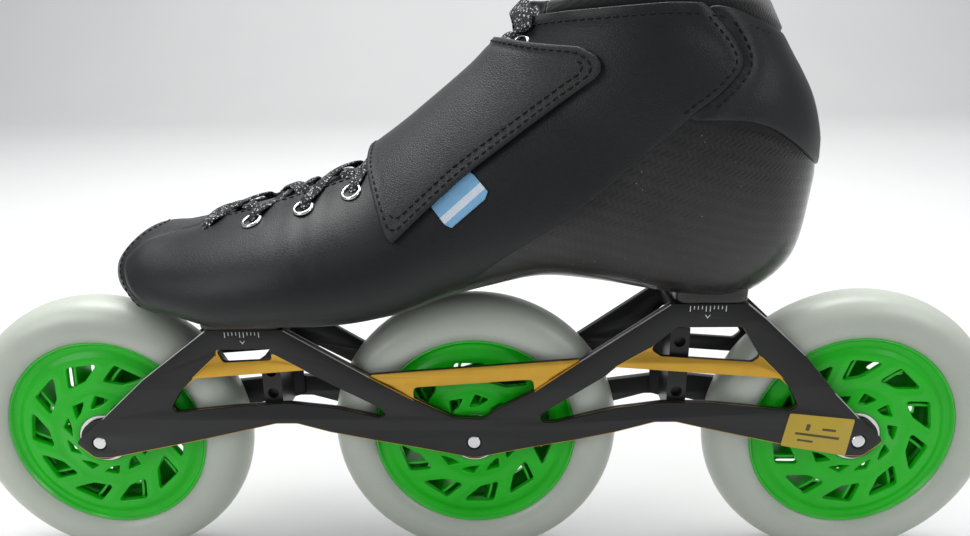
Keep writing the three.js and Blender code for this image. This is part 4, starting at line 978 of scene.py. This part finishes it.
def lace_run(a, b, over, hidden=False, dive=True):
    """Out of one eyelet and across the tongue; it goes down beside the other throat edge when dive is set."""
    pts, nrm = [], []
    span = math.hypot(b[0] - a[0], b[1] - a[1])
    ring, body = (1.5, 1.1) if hidden else (2.1, 1.45)
    over = 1.15 + 0.2 * over if hidden else over
    for t in np.linspace(0, 1, 44):
        p, n_ = on_top(a[0] + (b[0] - a[0]) * t, a[1] + (b[1] - a[1]) * t)
        s_, e_ = t * span, (1 - t) * span
        h = 0.35 + (ring - 0.35) * float(smoothstep(s_ / 2.6)) - (ring - body) * float(smoothstep((s_ - 4.2) / 3.5))
        h += (over - body) * float(smoothstep((s_ - 7) / 9)) * float(smoothstep((e_ - 4) / 8))
        if dive:
            h -= (body + 1.9) * float(smoothstep(1 - e_ / 5.5))
        else:
            h = min(h, 0.35 + (ring - 0.35) * float(smoothstep(e_ / 2.6)) - (ring - body) * float(smoothstep((e_ - 4.2) / 3.5)))
        pts.append(p + n_ * h)
        nrm.append(n_)
    return np.array(pts), np.array(nrm)


def lace(pts, nrm, thick, dive=True):
    fine = smooth_path(pts, 1.0)
    nf = np.stack([np.interp(np.linspace(0, 1, len(fine)), np.linspace(0, 1, len(nrm)), nrm[:, c]) for c in range(3)], -1)
    L = len(fine)
    ends = np.arange(L) if dive else np.minimum(np.arange(L), L - 1 - np.arange(L))
    return ribbon(fine, nf, 3.3 + 2.4 * smoothstep(ends / 5.5), thick)


for i in range(len(ROWS) - 1):
    a, b = ROWS[i], ROWS[i + 1]
    hidden = i >= 3
    edge = float(np.interp(b[0], [-90, -44, 0, 40], [13.6, 13.5, 11.0, 9.5]))
    for k, (y0, sgn) in enumerate(((a[1], 1), (a[2], -1))):
        pts, nrm = lace_run((a[0], y0), (b[0] - 1.5, sgn * (edge + 2.6)), 1.5 if k == i % 2 else 0.0, hidden)
        parts.append((*lace(pts, nrm, 1.0 if hidden else 1.3), 0))
a = ROWS[0]
pts, nrm = lace_run((a[0], a[1] - 0.5), (a[0], a[2] + 0.5), 1.5, dive=False)
parts.append((*lace(pts, nrm, 1.5, dive=False), 0))
V, F, _ = join_parts(parts)
o = make_object("visual_laces", V, F, M_LACE, replaces=["laces"])
fix_normals(o)

# the top lace: two bands that come up beside the tongue and cross under a flat knot
parts = []
for dx, dn, width in ((0.0, 0.0, 8.8), (3.4, -1.5, 6.4)):
    path = smooth_path([(21 + dx, -16.2, 228.2), (20.9 + dx, -12.6, 233.2), (19.8 + dx, -6.2, 236.6), (19.3 + dx, 2.4, 237.4), (20.1 + dx, 10.8, 234.8), (20.6 + dx, 15.6, 228.8)], 1.0)
    nn = path - np.array([40, 0, 216])
    nn[:, 1] *= 0.9
    nn /= np.linalg.norm(nn, axis=1)[:, None]
    parts.append((*ribbon(path + nn * dn, nn, width, 1.5), 0))
V, F, _ = join_parts(parts)
o = make_object("visual_lace_top", V, F, M_LACE, replaces=["lace_top"])
fix_normals(o)

# ------------------------------------------------------------------ wheels
AXLE_Z = 62.5


def weld(o_, distance=2e-6):
    """Joins the coincident points at a lathe's poles and turns the faces outwards."""
    bm = bmesh.new()
    bm.from_mesh(o_.data)
    bmesh.ops.remove_doubles(bm, verts=bm.verts, dist=distance)
    bmesh.ops.dissolve_degenerate(bm, edges=bm.edges, dist=distance)
    bmesh.ops.recalc_face_normals(bm, faces=bm.faces)
    bm.to_mesh(o_.data)
    bm.free()
    return o_


def polar(shape, turn, r=1.1, steps=5):
    pts = [(rad * math.cos(math.radians(a + turn)), rad * math.sin(math.radians(a + turn)), rr) for rad, a, rr in shape]
    return fillet(pts, r, steps)


FACE = np.array([(11.4, 12.0), (13.2, 12.0), (13.9, 11.85), (20.4, 9.42), (21.4, 9.22), (22.4, 9.2), (35.6, 9.2), (36.6, 9.12), (37.4, 8.85), (39.4, 7.85), (40.2, 7.62), (41.6, 7.6), (42.3, 7.85), (42.9, 8.7), (43.25, 9.2), (43.6, 9.3), (43.95, 9.05)])
BIG_WINDOW = [(25.9, 1.4, 1.2), (34.6, -8.5, 1.8), (34.0, -31.8, 1.1), (26.4, -17.5, 3.2)]
SMALL_WINDOW = [(14.6, 2.5, 0.5), (19.6, -8, 0.9), (18.4, -27, 0.5), (15.2, -14, 1.2)]


def core_face(side):
    r = np.concatenate([np.linspace(11.4, 20.4, 22), np.linspace(20.9, 37, 46), np.linspace(37.3, 43.95, 30)])
    n = 480
    t = np.arange(n) / n * 2 * math.pi * (1 if side > 0 else -1)
    y = np.interp(r, FACE[:, 0], FACE[:, 1]) * side
    P = np.stack([r[:, None] * np.cos(t), np.repeat(y[:, None], n, 1), r[:, None] * np.sin(t)], -1)
    slope = np.gradient(y * side, r)
    N = np.stack([-slope[:, None] * np.cos(t), np.full((len(r), n), float(side)), -slope[:, None] * np.sin(t)], -1)
    N /= np.linalg.norm(N, axis=2)[:, :, None]
    sheet = Sheet(P, N, True)
    f = np.full(P.shape[:2], 50.0)
    for k in range(10):
        f = np.minimum(f, -sdf(polar(BIG_WINDOW, k * 36), P[..., 0], P[..., 2]))
        if side < 0:
            f = np.minimum(f, -sdf(polar(SMALL_WINDOW, k * 36 + 20, 0.5, 3), P[..., 0], P[..., 2]))
    # the blades between the windows are a little raised along their middle
    swell = 0.35 * smoothstep((f - 0.6) / 2.6) * smoothstep((r[:, None] - 22.5) / 3) * smoothstep((36 - r[:, None]) / 3)
    V, F, tag = sheet.patch(f, swell - 0.12, -2.7, 0.55, "top", 3)
    # faces on the rim lip get the paler lip material, which is painted light
    rr = np.hypot(V[:, 0], V[:, 2])
    return V, F, [1 if rr[list(x)].mean() > 42.75 and t_ == 0 else 0 for x, t_ in zip(F, tag)]


RIM_IN = [(38.1, -6.5), (38.1, -5.0), (39.2, -4.7), (39.2, -3.3), (38.1, -3.0), (38.1, -0.8), (37.2, -0.5), (37.2, 0.5), (38.1, 0.8), (38.1, 3.0), (39.2, 3.3), (39.2, 4.7), (38.1, 5.0), (38.1, 6.5),
          (40.0, 6.7), (42.2, 6.8), (43.2, 8.0), (43.9, 8.7), (43.9, -8.7), (43.2, -8.0), (42.2, -6.8), (40.0, -6.7)]
HUB_IN = [(11.25, -11.7), (12.2, -11.7), (13.2, -10.4), (14.6, -9.2), (14.6, -1.2), (16.6, -0.7), (16.6, 0.7), (14.6, 1.2), (14.6, 9.2), (13.2, 10.4), (12.2, 11.7), (11.25, 11.7)]
SEAT = [(9.2, -4.6), (11.5, -4.6), (11.5, 4.6), (9.2, 4.6)]
TYRE_HALF = [(44.05, 9.0), (44.35, 9.45), (45.4, 10.3), (47.0, 11.25), (48.8, 11.85), (50.6, 12.0), (52.6, 11.95), (54.6, 11.55), (56.6, 10.75), (58.4, 9.55), (59.9, 8.1), (61.0, 6.4), (61.8, 4.5), (62.3, 2.6), (62.48, 1.2), (62.5, 0)]
# painted light: a paler green on the thin rim lip stands in for light shining through it and for its highlight
M_CORE_LIP = plain("core_lip_painted_light", (0.03, 0.55, 0.03), 0.32, 700, 0.15, 0.05, coat=0.3, coat_rough=0.1, sub=0.1, sub_scale=0.003)
core_parts = [(*core_face(-1)[:2], 0), (*core_face(1)[:2], 0)]
core_tags = core_face(-1)[2] + core_face(1)[2]


def ribs():
    """Ten thin ribs inside the core, from its hub to its rim."""
    out = []
    for k in range(10):
        a0 = math.radians(k * 36 + 5)
        V_, F_ = [], []
        rows = 14
        for i in range(rows):
            s = i / (rows - 1)
            rad, ang = 14.4 + (38.4 - 14.4) * s, a0 - math.radians(22) * s
            c_, s_ = math.cos(ang), math.sin(ang)
            tx, tz = -s_, c_
            for dy, dt in ((-6.7, -0.6), (-6.7, 0.6), (6.7, 0.6), (6.7, -0.6)):
                V_.append((rad * c_ + tx * dt, dy, rad * s_ + tz * dt))
        for i in range(rows - 1):
            for j in range(4):
                F_.append([i * 4 + j, i * 4 + (j + 1) % 4, (i + 1) * 4 + (j + 1) % 4, (i + 1) * 4 + j])
        F_ += [[3, 2, 1, 0], [(rows - 1) * 4 + j for j in range(4)]]
        out.append((V_, F_))
    return out


def spin(V, turn, cx):
    V = np.asarray(V, float)
    c_, s_ = math.cos(math.radians(turn)), math.sin(math.radians(turn))
    return np.stack([cx + V[:, 0] * c_ - V[:, 2] * s_, V[:, 1], AXLE_Z + V[:, 0] * s_ + V[:, 2] * c_], -1)


def bearing(y0, sign):
    """Outer race, recessed shield and inner ring; y0 is the outer face and sign points outwards."""
    o_ = lambda r_, d: (r_, y0 - sign * d)
    outer = [o_(9.35, 0.0), o_(10.75, 0.0), o_(11.0, 0.3), o_(11.0, 6.7), o_(10.75, 7.0), o_(9.35, 7.0), o_(9.2, 6.8), o_(9.2, 0.2)]
    shield = [o_(6.55, 0.45), o_(7.3, 0.3), o_(8.6, 0.3), o_(9.3, 0.55), o_(9.3, 6.45), o_(6.55, 6.45)]
    inner = [o_(4.25, 0.25), o_(4.5, 0.0), o_(6.2, 0.0), o_(6.45, 0.25), o_(6.6, 6.8), o_(6.2, 7.0), o_(4.5, 7.0), o_(4.25, 6.75)]
    return [(outer, 0), (shield, 1), (inner, 0)]


for wheel, cx, turn in (("front", -164.0, 12), ("middle", 0.0, 4), ("rear", 164.0, 33.7)):
    body = wheel + "_wheel"
    prof = TYRE_HALF + [(r_, -y_) for r_, y_ in reversed(TYRE_HALF[:-1])]
    V, F = lathe(prof, (cx, AXLE_Z), 220)
    weld(make_object(f"visual_{wheel}_tyre", V, F, M_TYRE, body=body, replaces=[f"{wheel}_tyre"], angle=40))
    lathes = [(*lathe(pr, (0, 0), 160), 0) for pr in (RIM_IN, HUB_IN, SEAT)]
    lathes = [(np.asarray(V_), F_, 0) for V_, F_, _ in lathes] + [(np.asarray(V_), F_, 0) for V_, F_ in ribs()]
    V, F, I = join_parts([(spin(V_, turn, cx), F_, 0) for V_, F_, _ in core_parts] + [(spin(V_, turn, cx), F_, 0) for V_, F_, _ in lathes])
    I = core_tags + [0] * (len(F) - len(core_tags))
    o = make_object(f"visual_{wheel}_core", V, F, [M_CORE, M_CORE_LIP], I, body=body, replaces=[f"{wheel}_core"])
    fix_normals(o)
    o.data.set_sharp_from_angle(angle=math.radians(38))
    for name, y0, sign in (("left", -12.0, -1), ("right", 12.0, 1)):
        V, F, I = join_parts([(*lathe(pr, (cx, AXLE_Z), 72), i) for pr, i in bearing(y0, sign)])
        o = make_object(f"visual_{wheel}_bearing_{name}", V, F, [M_STEEL, M_SHIELD], I, body=body, replaces=[f"{wheel}_bearing_{name}"])
        fix_normals(o)
        o.data.set_sharp_from_angle(angle=math.radians(35))
    spacer = [(4.3, -4.6), (4.6, -4.85), (6.1, -4.85), (6.35, -4.6), (6.35, -1.5), (5.9, -1.2), (5.9, 1.2), (6.35, 1.5), (6.35, 4.6), (6.1, 4.85), (4.6, 4.85), (4.3, 4.6)]
    V, F = lathe(spacer, (cx, AXLE_Z), 48)
    weld(make_object(f"visual_{wheel}_bearing_spacer", V, F, M_STEEL, replaces=[f"{wheel}_bearing_spacer"], angle=35))
    # the axle: its end is flush with the left plate, its head with a hexagon socket lies on the right one
    bolt = [(0, -16.9), (0.5, -16.98), (2.2, -17.0), (2.6, -16.92), (2.85, -16.65), (2.85, -13.3), (4, -12.6), (4, 17.2), (4.4, 17.3), (6, 17.35), (6, 18.7), (5.85, 19.2), (5.3, 19.7), (4.8, 19.88), (3.1, 19.88), (2.75, 19.7)]
    V, F = lathe(bolt, (cx, AXLE_Z), 48, closed=False)
    V = list(map(tuple, V))
    F = [list(f_) for f_ in F]
    base = (len(bolt) - 1) * 48
    rows_ = []
    for rad, yy in ((2.3, 19.5), (2.3, 17.9)):
        start = len(V)
        for k in range(48):
            a_ = k / 48 * 2 * math.pi
            hexr = rad / max(abs(math.cos((a_ % (math.pi / 3)) - math.pi / 6)), 0.8)
            V.append((cx + hexr * math.cos(a_) * 0.92, yy, AXLE_Z + hexr * math.sin(a_) * 0.92))
        rows_.append(start)
    for a0_, b0_ in ((base, rows_[0]), (rows_[0], rows_[1])):
        F += [[a0_ + k, a0_ + (k + 1) % 48, b0_ + (k + 1) % 48, b0_ + k] for k in range(48)]
    F.append([rows_[1] + k for k in range(48)])
    weld(make_object(f"visual_{wheel}_axle_bolt", V, F, M_STEEL, replaces=[f"{wheel}_axle_bolt"], angle=35))

# ------------------------------------------------------------------ side plates
OUTLINE = [(-174.6, 62.4, 2.5), (-170.2, 66.6, 3), (-160.6, 74.4, 4), (-140, 92.8, 0), (-110.8, 114.4, 3), (-106, 114.7, 1), (-78.2, 114.7, 2),
           (-43, 93.3, 1), (-43, 94, 0), (44.2, 100.4, 0), (44.6, 99.8, 1), (80.6, 124.7, 2), (111.6, 124.7, 2), (119.8, 118, 3), (137, 102.2, 0), (151.4, 85.2, 0),
           (162.8, 73.6, 4), (170.6, 66.8, 3), (174.6, 62.6, 2.5), (166.4, 55.3, 4), (158.6, 55.6, 3), (130.7, 61.4, 0), (98.6, 68.8, 8), (86, 71.9, 6), (77, 71.9, 6), (60, 67.1, 8),
           (42.9, 63.4, 0), (22.9, 59.7, 0), (0, 54.9, 5), (-22.9, 59.7, 0), (-42.9, 63.6, 0), (-62, 67.6, 8), (-76, 71.7, 6), (-85, 71.7, 6), (-96.5, 69, 8), (-121.4, 63.3, 0), (-150, 57.3, 0),
           (-160, 55.2, 3), (-167.2, 55.2, 4)]
INNER_HOLES = [
    [(-124.6, 87, 1.2), (-129.4, 79.6, 2), (-127.6, 77.2, 2), (-96.4, 80.4, 10), (-78.6, 81.4, 20), (-58.6, 79, 0), (-40, 74.4, 2), (-37, 76, 2), (-40.4, 79.4, 1.5), (-56.4, 88, 0), (-71, 96.1, 1), (-117.9, 92.6, 0.6)],
    [(-107.4, 105.8, 1.6), (-84.4, 106.4, 1.6), (-84.2, 100.9, 1.6), (-105, 99.9, 2.2)],
    [(-25.4, 88, 2.4), (-25.2, 83.2, 0), (-8.6, 74.4, 3), (4.4, 73.6, 3), (9, 77.6, 2), (25.8, 86.6, 0), (25.4, 91.4, 2.4), (21, 91.2, 0)],
    [(28.4, 75.6, 2), (28.8, 72.2, 2), (34.4, 72, 3), (60, 78.4, 0), (80, 81.1, 20), (98, 80.9, 10), (132.9, 77.1, 2), (136.6, 79, 2), (132, 87.6, 2), (127.9, 91.4, 0.8), (60, 96.8, 0.8), (55.7, 93.4, 0)],
    [(83.6, 114.5, 2.2), (110.4, 114.5, 2.2), (118.8, 101.4, 1.5), (115.6, 98.9, 2.2), (78, 101.8, 2.5), (73.4, 105, 2)]]
V_NOTCH = [(-43.6, 93.5, 0), (-25.2, 82.8, 0), (-8.6, 74.4, 3), (4.4, 73.6, 3), (9, 77.6, 2), (25.8, 86.6, 0), (44.6, 100, 0)]
OUTER_HOLES = [
    [(-107.4, 105.8, 1.6), (-84.4, 106.4, 1.6), (-84, 103.6, 1), (-82.8, 103.4, 0.6), (-70.6, 96.2, 0), (-56.4, 88, 0), (-40.4, 79.4, 1.5), (-37, 76, 2), (-40, 74.4, 2), (-58.6, 79, 0), (-78.6, 81.4, 20), (-96.4, 80.4, 10),
     (-127.6, 77.2, 2), (-129.4, 79.6, 2), (-124.6, 87, 1.2), (-118.4, 93, 0), (-107.6, 102.8, 1)],
    [(83.6, 114.5, 2.2), (110.4, 114.5, 2.2), (118.8, 101.4, 0), (128.6, 91.8, 0), (132, 87.6, 2), (136.6, 79, 2), (132.9, 77.1, 2), (98, 80.9, 10), (80, 81.1, 20), (60, 78.4, 0), (34.4, 72, 3), (28.8, 72.2, 2), (28.4, 75.6, 2),
     (55.7, 93.4, 0), (59.4, 97.1, 0), (73.2, 105.4, 2)]]
OUTER_OUTLINE = OUTLINE[:7] + V_NOTCH + OUTLINE[11:]


def circle(x, z, r, n=40):
    return [(x + r * math.cos(k / n * 2 * math.pi), z + r * math.sin(k / n * 2 * math.pi)) for k in range(n)]


def extruded(outline, holes, y0, y1, bevel, res=2):
    """A plate with a rounded edge: outlines in x, z between y0 and y1. Returns points in mm and faces."""
    cu = bpy.data.curves.new("tmp", "CURVE")
    cu.dimensions = "2D"
    cu.fill_mode = "BOTH"
    cu.extrude = ((y1 - y0) / 2 - bevel) * MM
    cu.bevel_depth = bevel * MM
    cu.bevel_resolution = res
    cu.offset = -bevel * MM
    for line in [outline] + list(holes):
        sp = cu.splines.new("POLY")
        sp.points.add(len(line) - 1)
        sp.use_cyclic_u = True
        for p, (x, z) in zip(sp.points, line):
            p.co = (x * MM, z * MM, 0, 1)
    o_ = bpy.data.objects.new("tmp", cu)
    SCENE.collection.objects.link(o_)
    bpy.context.view_layer.update()
    me = bpy.data.meshes.new_from_object(o_.evaluated_get(bpy.context.evaluated_depsgraph_get()))
    bpy.data.objects.remove(o_)
    bpy.data.curves.remove(cu)
    bm = bmesh.new()
    bm.from_mesh(me)
    bmesh.ops.remove_doubles(bm, verts=bm.verts, dist=1e-6)
    bmesh.ops.dissolve_degenerate(bm, edges=bm.edges, dist=1e-7)
    bmesh.ops.recalc_face_normals(bm, faces=bm.faces)
    bm.verts.ensure_lookup_table()
    V_ = np.array([v.co for v in bm.verts]) / MM
    F_ = [[v.index for v in f_.verts] for f_ in bm.faces]
    bm.free()
    bpy.data.meshes.remove(me)
    V_ = np.stack([V_[:, 0], -V_[:, 2] + (y0 + y1) / 2, V_[:, 1]], -1)
    return V_, F_


def face_normals(V_, F_):
    out = []
    for f_ in F_:
        p = V_[f_]
        n_ = np.zeros(3)
        for j in range(len(p)):
            n_ += np.cross(p[j], p[(j + 1) % len(p)])
        out.append(n_ / (np.linalg.norm(n_) + 1e-12))
    return np.array(out)


def plate(side, name):
    axle_r = 3.15 if side < 0 else 4.3
    circles = [circle(x, AXLE_Z, axle_r) for x in (-164, 0, 164)]
    ys = lambda a_, b_: (-b_, -a_) if side < 0 else (a_, b_)
    Va, Fa = extruded(fillet(OUTLINE, 1, 5), [fillet(h, 1, 5) for h in INNER_HOLES] + circles, *ys(13.5, 16.0), 0.25, 1)
    Vb_, Fb_ = extruded(fillet(OUTER_OUTLINE, 1, 5), [fillet(h, 1, 5) for h in OUTER_HOLES] + circles, *ys(15.7, 17.0), 0.42, 1)
    na, nb = face_normals(Va, Fa), face_normals(Vb_, Fb_)
    out_a = na[:, 1] * side > 0.9
    Ia = []
    for k, f_ in enumerate(Fa):
        c_ = Va[f_].mean(0)
        Ia.append(1 if out_a[k] and abs(c_[1]) > 15.9 else (1 if abs(c_[1]) > 15.7 and na[k, 1] * side > 0.3 else 0))
    strip_line = [[(-107.6, 102.8), (-118.4, 93)], [(-82.8, 103.4), (-70.6, 96.2)], [(-43.6, 93.5), (-25.2, 82.8)], [(25.8, 86.6), (44.6, 100)], [(59.4, 97.1), (73.2, 105.4)], [(118.8, 101.4), (128.6, 91.8)]]
    Ib = []
    for k, f_ in enumerate(Fb_):
        c_ = Vb_[f_].mean(0)
        m_ = 0
        chamfer = 0.25 < nb[k, 1] * side < 0.97
        if chamfer:
            x_, z_ = c_[0], c_[2]
            for (ax, az), (bx, bz) in strip_line:
                ex, ez = bx - ax, bz - az
                t_ = min(1, max(0, ((x_ - ax) * ex + (z_ - az) * ez) / (ex * ex + ez * ez)))
                if math.hypot(x_ - ax - t_ * ex, z_ - az - t_ * ez) < 1.0:
                    m_ = 1
            bottom = np.interp(x_, [-174.6, -167, -160, -121.4, -96.5, -85, -76, -62, 0, 60, 77, 86, 98.6, 158.6, 166.4, 174.6], [62.4, 55.2, 55.2, 63.3, 69, 71.7, 71.7, 67.6, 54.9, 67.1, 71.9, 71.9, 68.8, 55.6, 55.3, 62.6])
            if nb[k, 2] < -0.15 and z_ < bottom + 1.6:
                m_ = 1
            # upward-facing top-edge chamfers take the painted-highlight edge material
            top_edge = nb[k, 2] > 0.25 and (x_ < -110.8 or x_ > 111.6 or -78 < x_ < -43.6 or 44.6 < x_ < 80.6) and z_ > 75 and m_ == 0
            if top_edge and min(abs(sdf([p_[:2] for p_ in OUTER_OUTLINE], np.array([x_]), np.array([z_]))[0]), 9) < 1.0:
                m_ = 2
        Ib.append(m_)
    boss = [(4.3, 12.3), (6.7, 12.3), (7.0, 12.5), (7.6, 13.2), (9.4, 13.55), (9.4, 13.9), (4.3, 13.9)]
    bosses = []
    for x in (-164, 0, 164):
        Vc, Fc = lathe([(r_, y_ * side) for r_, y_ in boss], (x, AXLE_Z), 48)
        bosses.append((Vc, Fc, 0))
    V_, F_, _ = join_parts([(Va, Fa, 0), (Vb_, Fb_, 0)] + bosses)
    I_ = Ia + Ib + [0] * (len(F_) - len(Fa) - len(Fb_))
    o_ = make_object(name, V_, F_, [M_ANOD, M_GOLD, M_EDGE], I_, replaces=["frame_plate_left" if side < 0 else "frame_plate_right"])
    fix_normals(o_)
    o_.data.set_sharp_from_angle(angle=math.radians(30))
    return o_


plate(-1, "visual_frame_plate_left")
plate(1, "visual_frame_plate_right")

# sticker and setting marks on the left plate
M_INK = plain("label_ink", (0.09, 0.07, 0.02), 0.5, 900)
label = fillet([(133.5, 76), (161, 73), (159, 55.9), (131, 60.9)], 1.0, 4)
V, F = extruded(label, [], -17.22, -16.98, 0.05, 1)
P0, PX, PZ = np.array([131.0, 60.9]), np.array([28.0, -5.0]) , np.array([2.5, 15.1])
at = lambda u_, v_: tuple(P0 + PX * u_ + PZ * v_ + np.array([-0.5, 2.1]) * u_ * v_)
bars = []
for u0, u1, v0, v1 in ((0.16, 0.84, 0.40, 0.47), (0.30, 0.36, 0.55, 0.74), (0.55, 0.76, 0.60, 0.67), (0.22, 0.46, 0.22, 0.28)):
    bars.append((*extruded(fillet([at(u0, v0), at(u1, v0), at(u1, v1), at(u0, v1)], 0.3, 3), [], -17.27, -17.15, 0.02, 0), 1))
V, F, I = join_parts([(V, F, 0)] + bars)
o = make_object("frame_sticker", V, F, [M_LABEL, M_INK], I)
fix_normals(o)
marks = []
for x0, x1, z0, z1, n in ((-102.4, -88.2, 111.4, 113.8, 10), (88.4, 102.8, 121.4, 123.8, 10)):
    for k in range(n):
        x = x0 + (x1 - x0) * k / (n - 1)
        h = z1 - z0 if k in (0, 4, 5, 9) else (z1 - z0) * 0.6
        marks.append((*extruded([(x - 0.17, z1 - h), (x + 0.17, z1 - h), (x + 0.17, z1), (x - 0.17, z1)], [], -17.06, -16.98, 0.01, 0), 0))
    xm = (x0 + x1) / 2
    marks.append((*extruded([(xm - 1.2, z0 - 1.4), (xm, z0 - 3.0), (xm + 1.2, z0 - 1.4), (xm + 0.75, z0 - 1.4), (xm, z0 - 2.4), (xm - 0.75, z0 - 1.4)], [], -17.06, -16.98, 0.01, 0), 0))
V, F, _ = join_parts(marks)
o = make_object("setting_marks", V, F, M_TICK)
fix_normals(o)


def dress(node, material, bevel=0.0003, segments=2, angle=40):
    ob = frame["nodes"][node]
    ob.data.materials.clear() if not len(ob.data.materials) else None
    if not ob.material_slots:
        ob.data.materials.append(material)
    for slot_ in ob.material_slots:
        slot_.link = "OBJECT"
        slot_.material = material
    if bevel:
        md = ob.modifiers.new("bevel", "BEVEL")
        md.width = bevel
        md.segments = segments
        md.limit_method = "ANGLE"
        md.angle_limit = math.radians(angle)
        md.harden_normals = False


for n_ in ("front_mount_deck", "rear_mount_deck", "front_cross_web", "rear_cross_web"):
    dress(n_, M_ANOD, 0.00035)
for w_ in ("front", "rear"):
    dress(w_ + "_mount_bolt", M_DARKSTEEL, 0.0002)
    dress(w_ + "_mount_washer", M_STEEL, 0.0002)
    dress(w_ + "_mount_insert", M_STEEL, 0.0002)

# ------------------------------------------------------------------ floor and light
floor_n = Nodes("floor_pale").set(spec=0.3)
fl = floor_n.noise(3, 3)
floor_mat = floor_n.out(floor_n.mix(fl, (0.6, 0.6, 0.6), (0.63, 0.63, 0.625)), floor_n.map(fl, 0.3, 0.7, 0.62, 0.7))
prof = [(-3.0, 0.0), (2.2, 0.0)] + [(2.2 + 1.2 * math.sin(a_), 1.2 - 1.2 * math.cos(a_)) for a_ in np.linspace(0.05, math.pi / 2, 16)] + [(3.4, 4.0)]
fv = [(x_, y_, z_) for y_, z_ in prof for x_ in (-4.5, 4.5)]
ff = [(2 * i, 2 * i + 1, 2 * i + 3, 2 * i + 2) for i in range(len(prof) - 1)]
fme = bpy.data.meshes.new("floor")
fme.from_pydata(fv, [], ff)
fme.polygons.foreach_set("use_smooth", np.ones(len(ff), bool))
fme.materials.append(floor_mat)
floor = bpy.data.objects.new("floor", fme)
SCENE.collection.objects.link(floor)


def area(name, loc, target, size, energy, color=(1, 1, 1), size_y=None):
    l = bpy.data.lights.new(name, "AREA")
    l.shape = "RECTANGLE"
    l.size, l.size_y = size, size_y or size
    l.energy = energy
    l.color = color
    ob = bpy.data.objects.new(name, l)
    SCENE.collection.objects.link(ob)
    ob.location = loc
    ob.rotation_euler = (Vector(target) - Vector(loc)).to_track_quat("-Z", "Y").to_euler()


area("key_top", (-0.2, 0.25, 1.25), (0, 0, 0.12), 1.1, 13)
area("front_left", (-1.05, -0.95, 0.75), (0, 0, 0.12), 0.7, 5)
area("front_right", (1.15, -0.8, 0.9), (0.05, 0, 0.1), 0.7, 4)
area("backdrop", (0, 0.6, 2.6), (0, 3.2, 0.9), 2.6, 110)
world = bpy.data.worlds.new("studio")
world.use_nodes = True
bg = world.node_tree.nodes["Background"]
bg.inputs[0].default_value = (0.92, 0.94, 1.0, 1)
bg.inputs[1].default_value = 0.3
SCENE.world = world
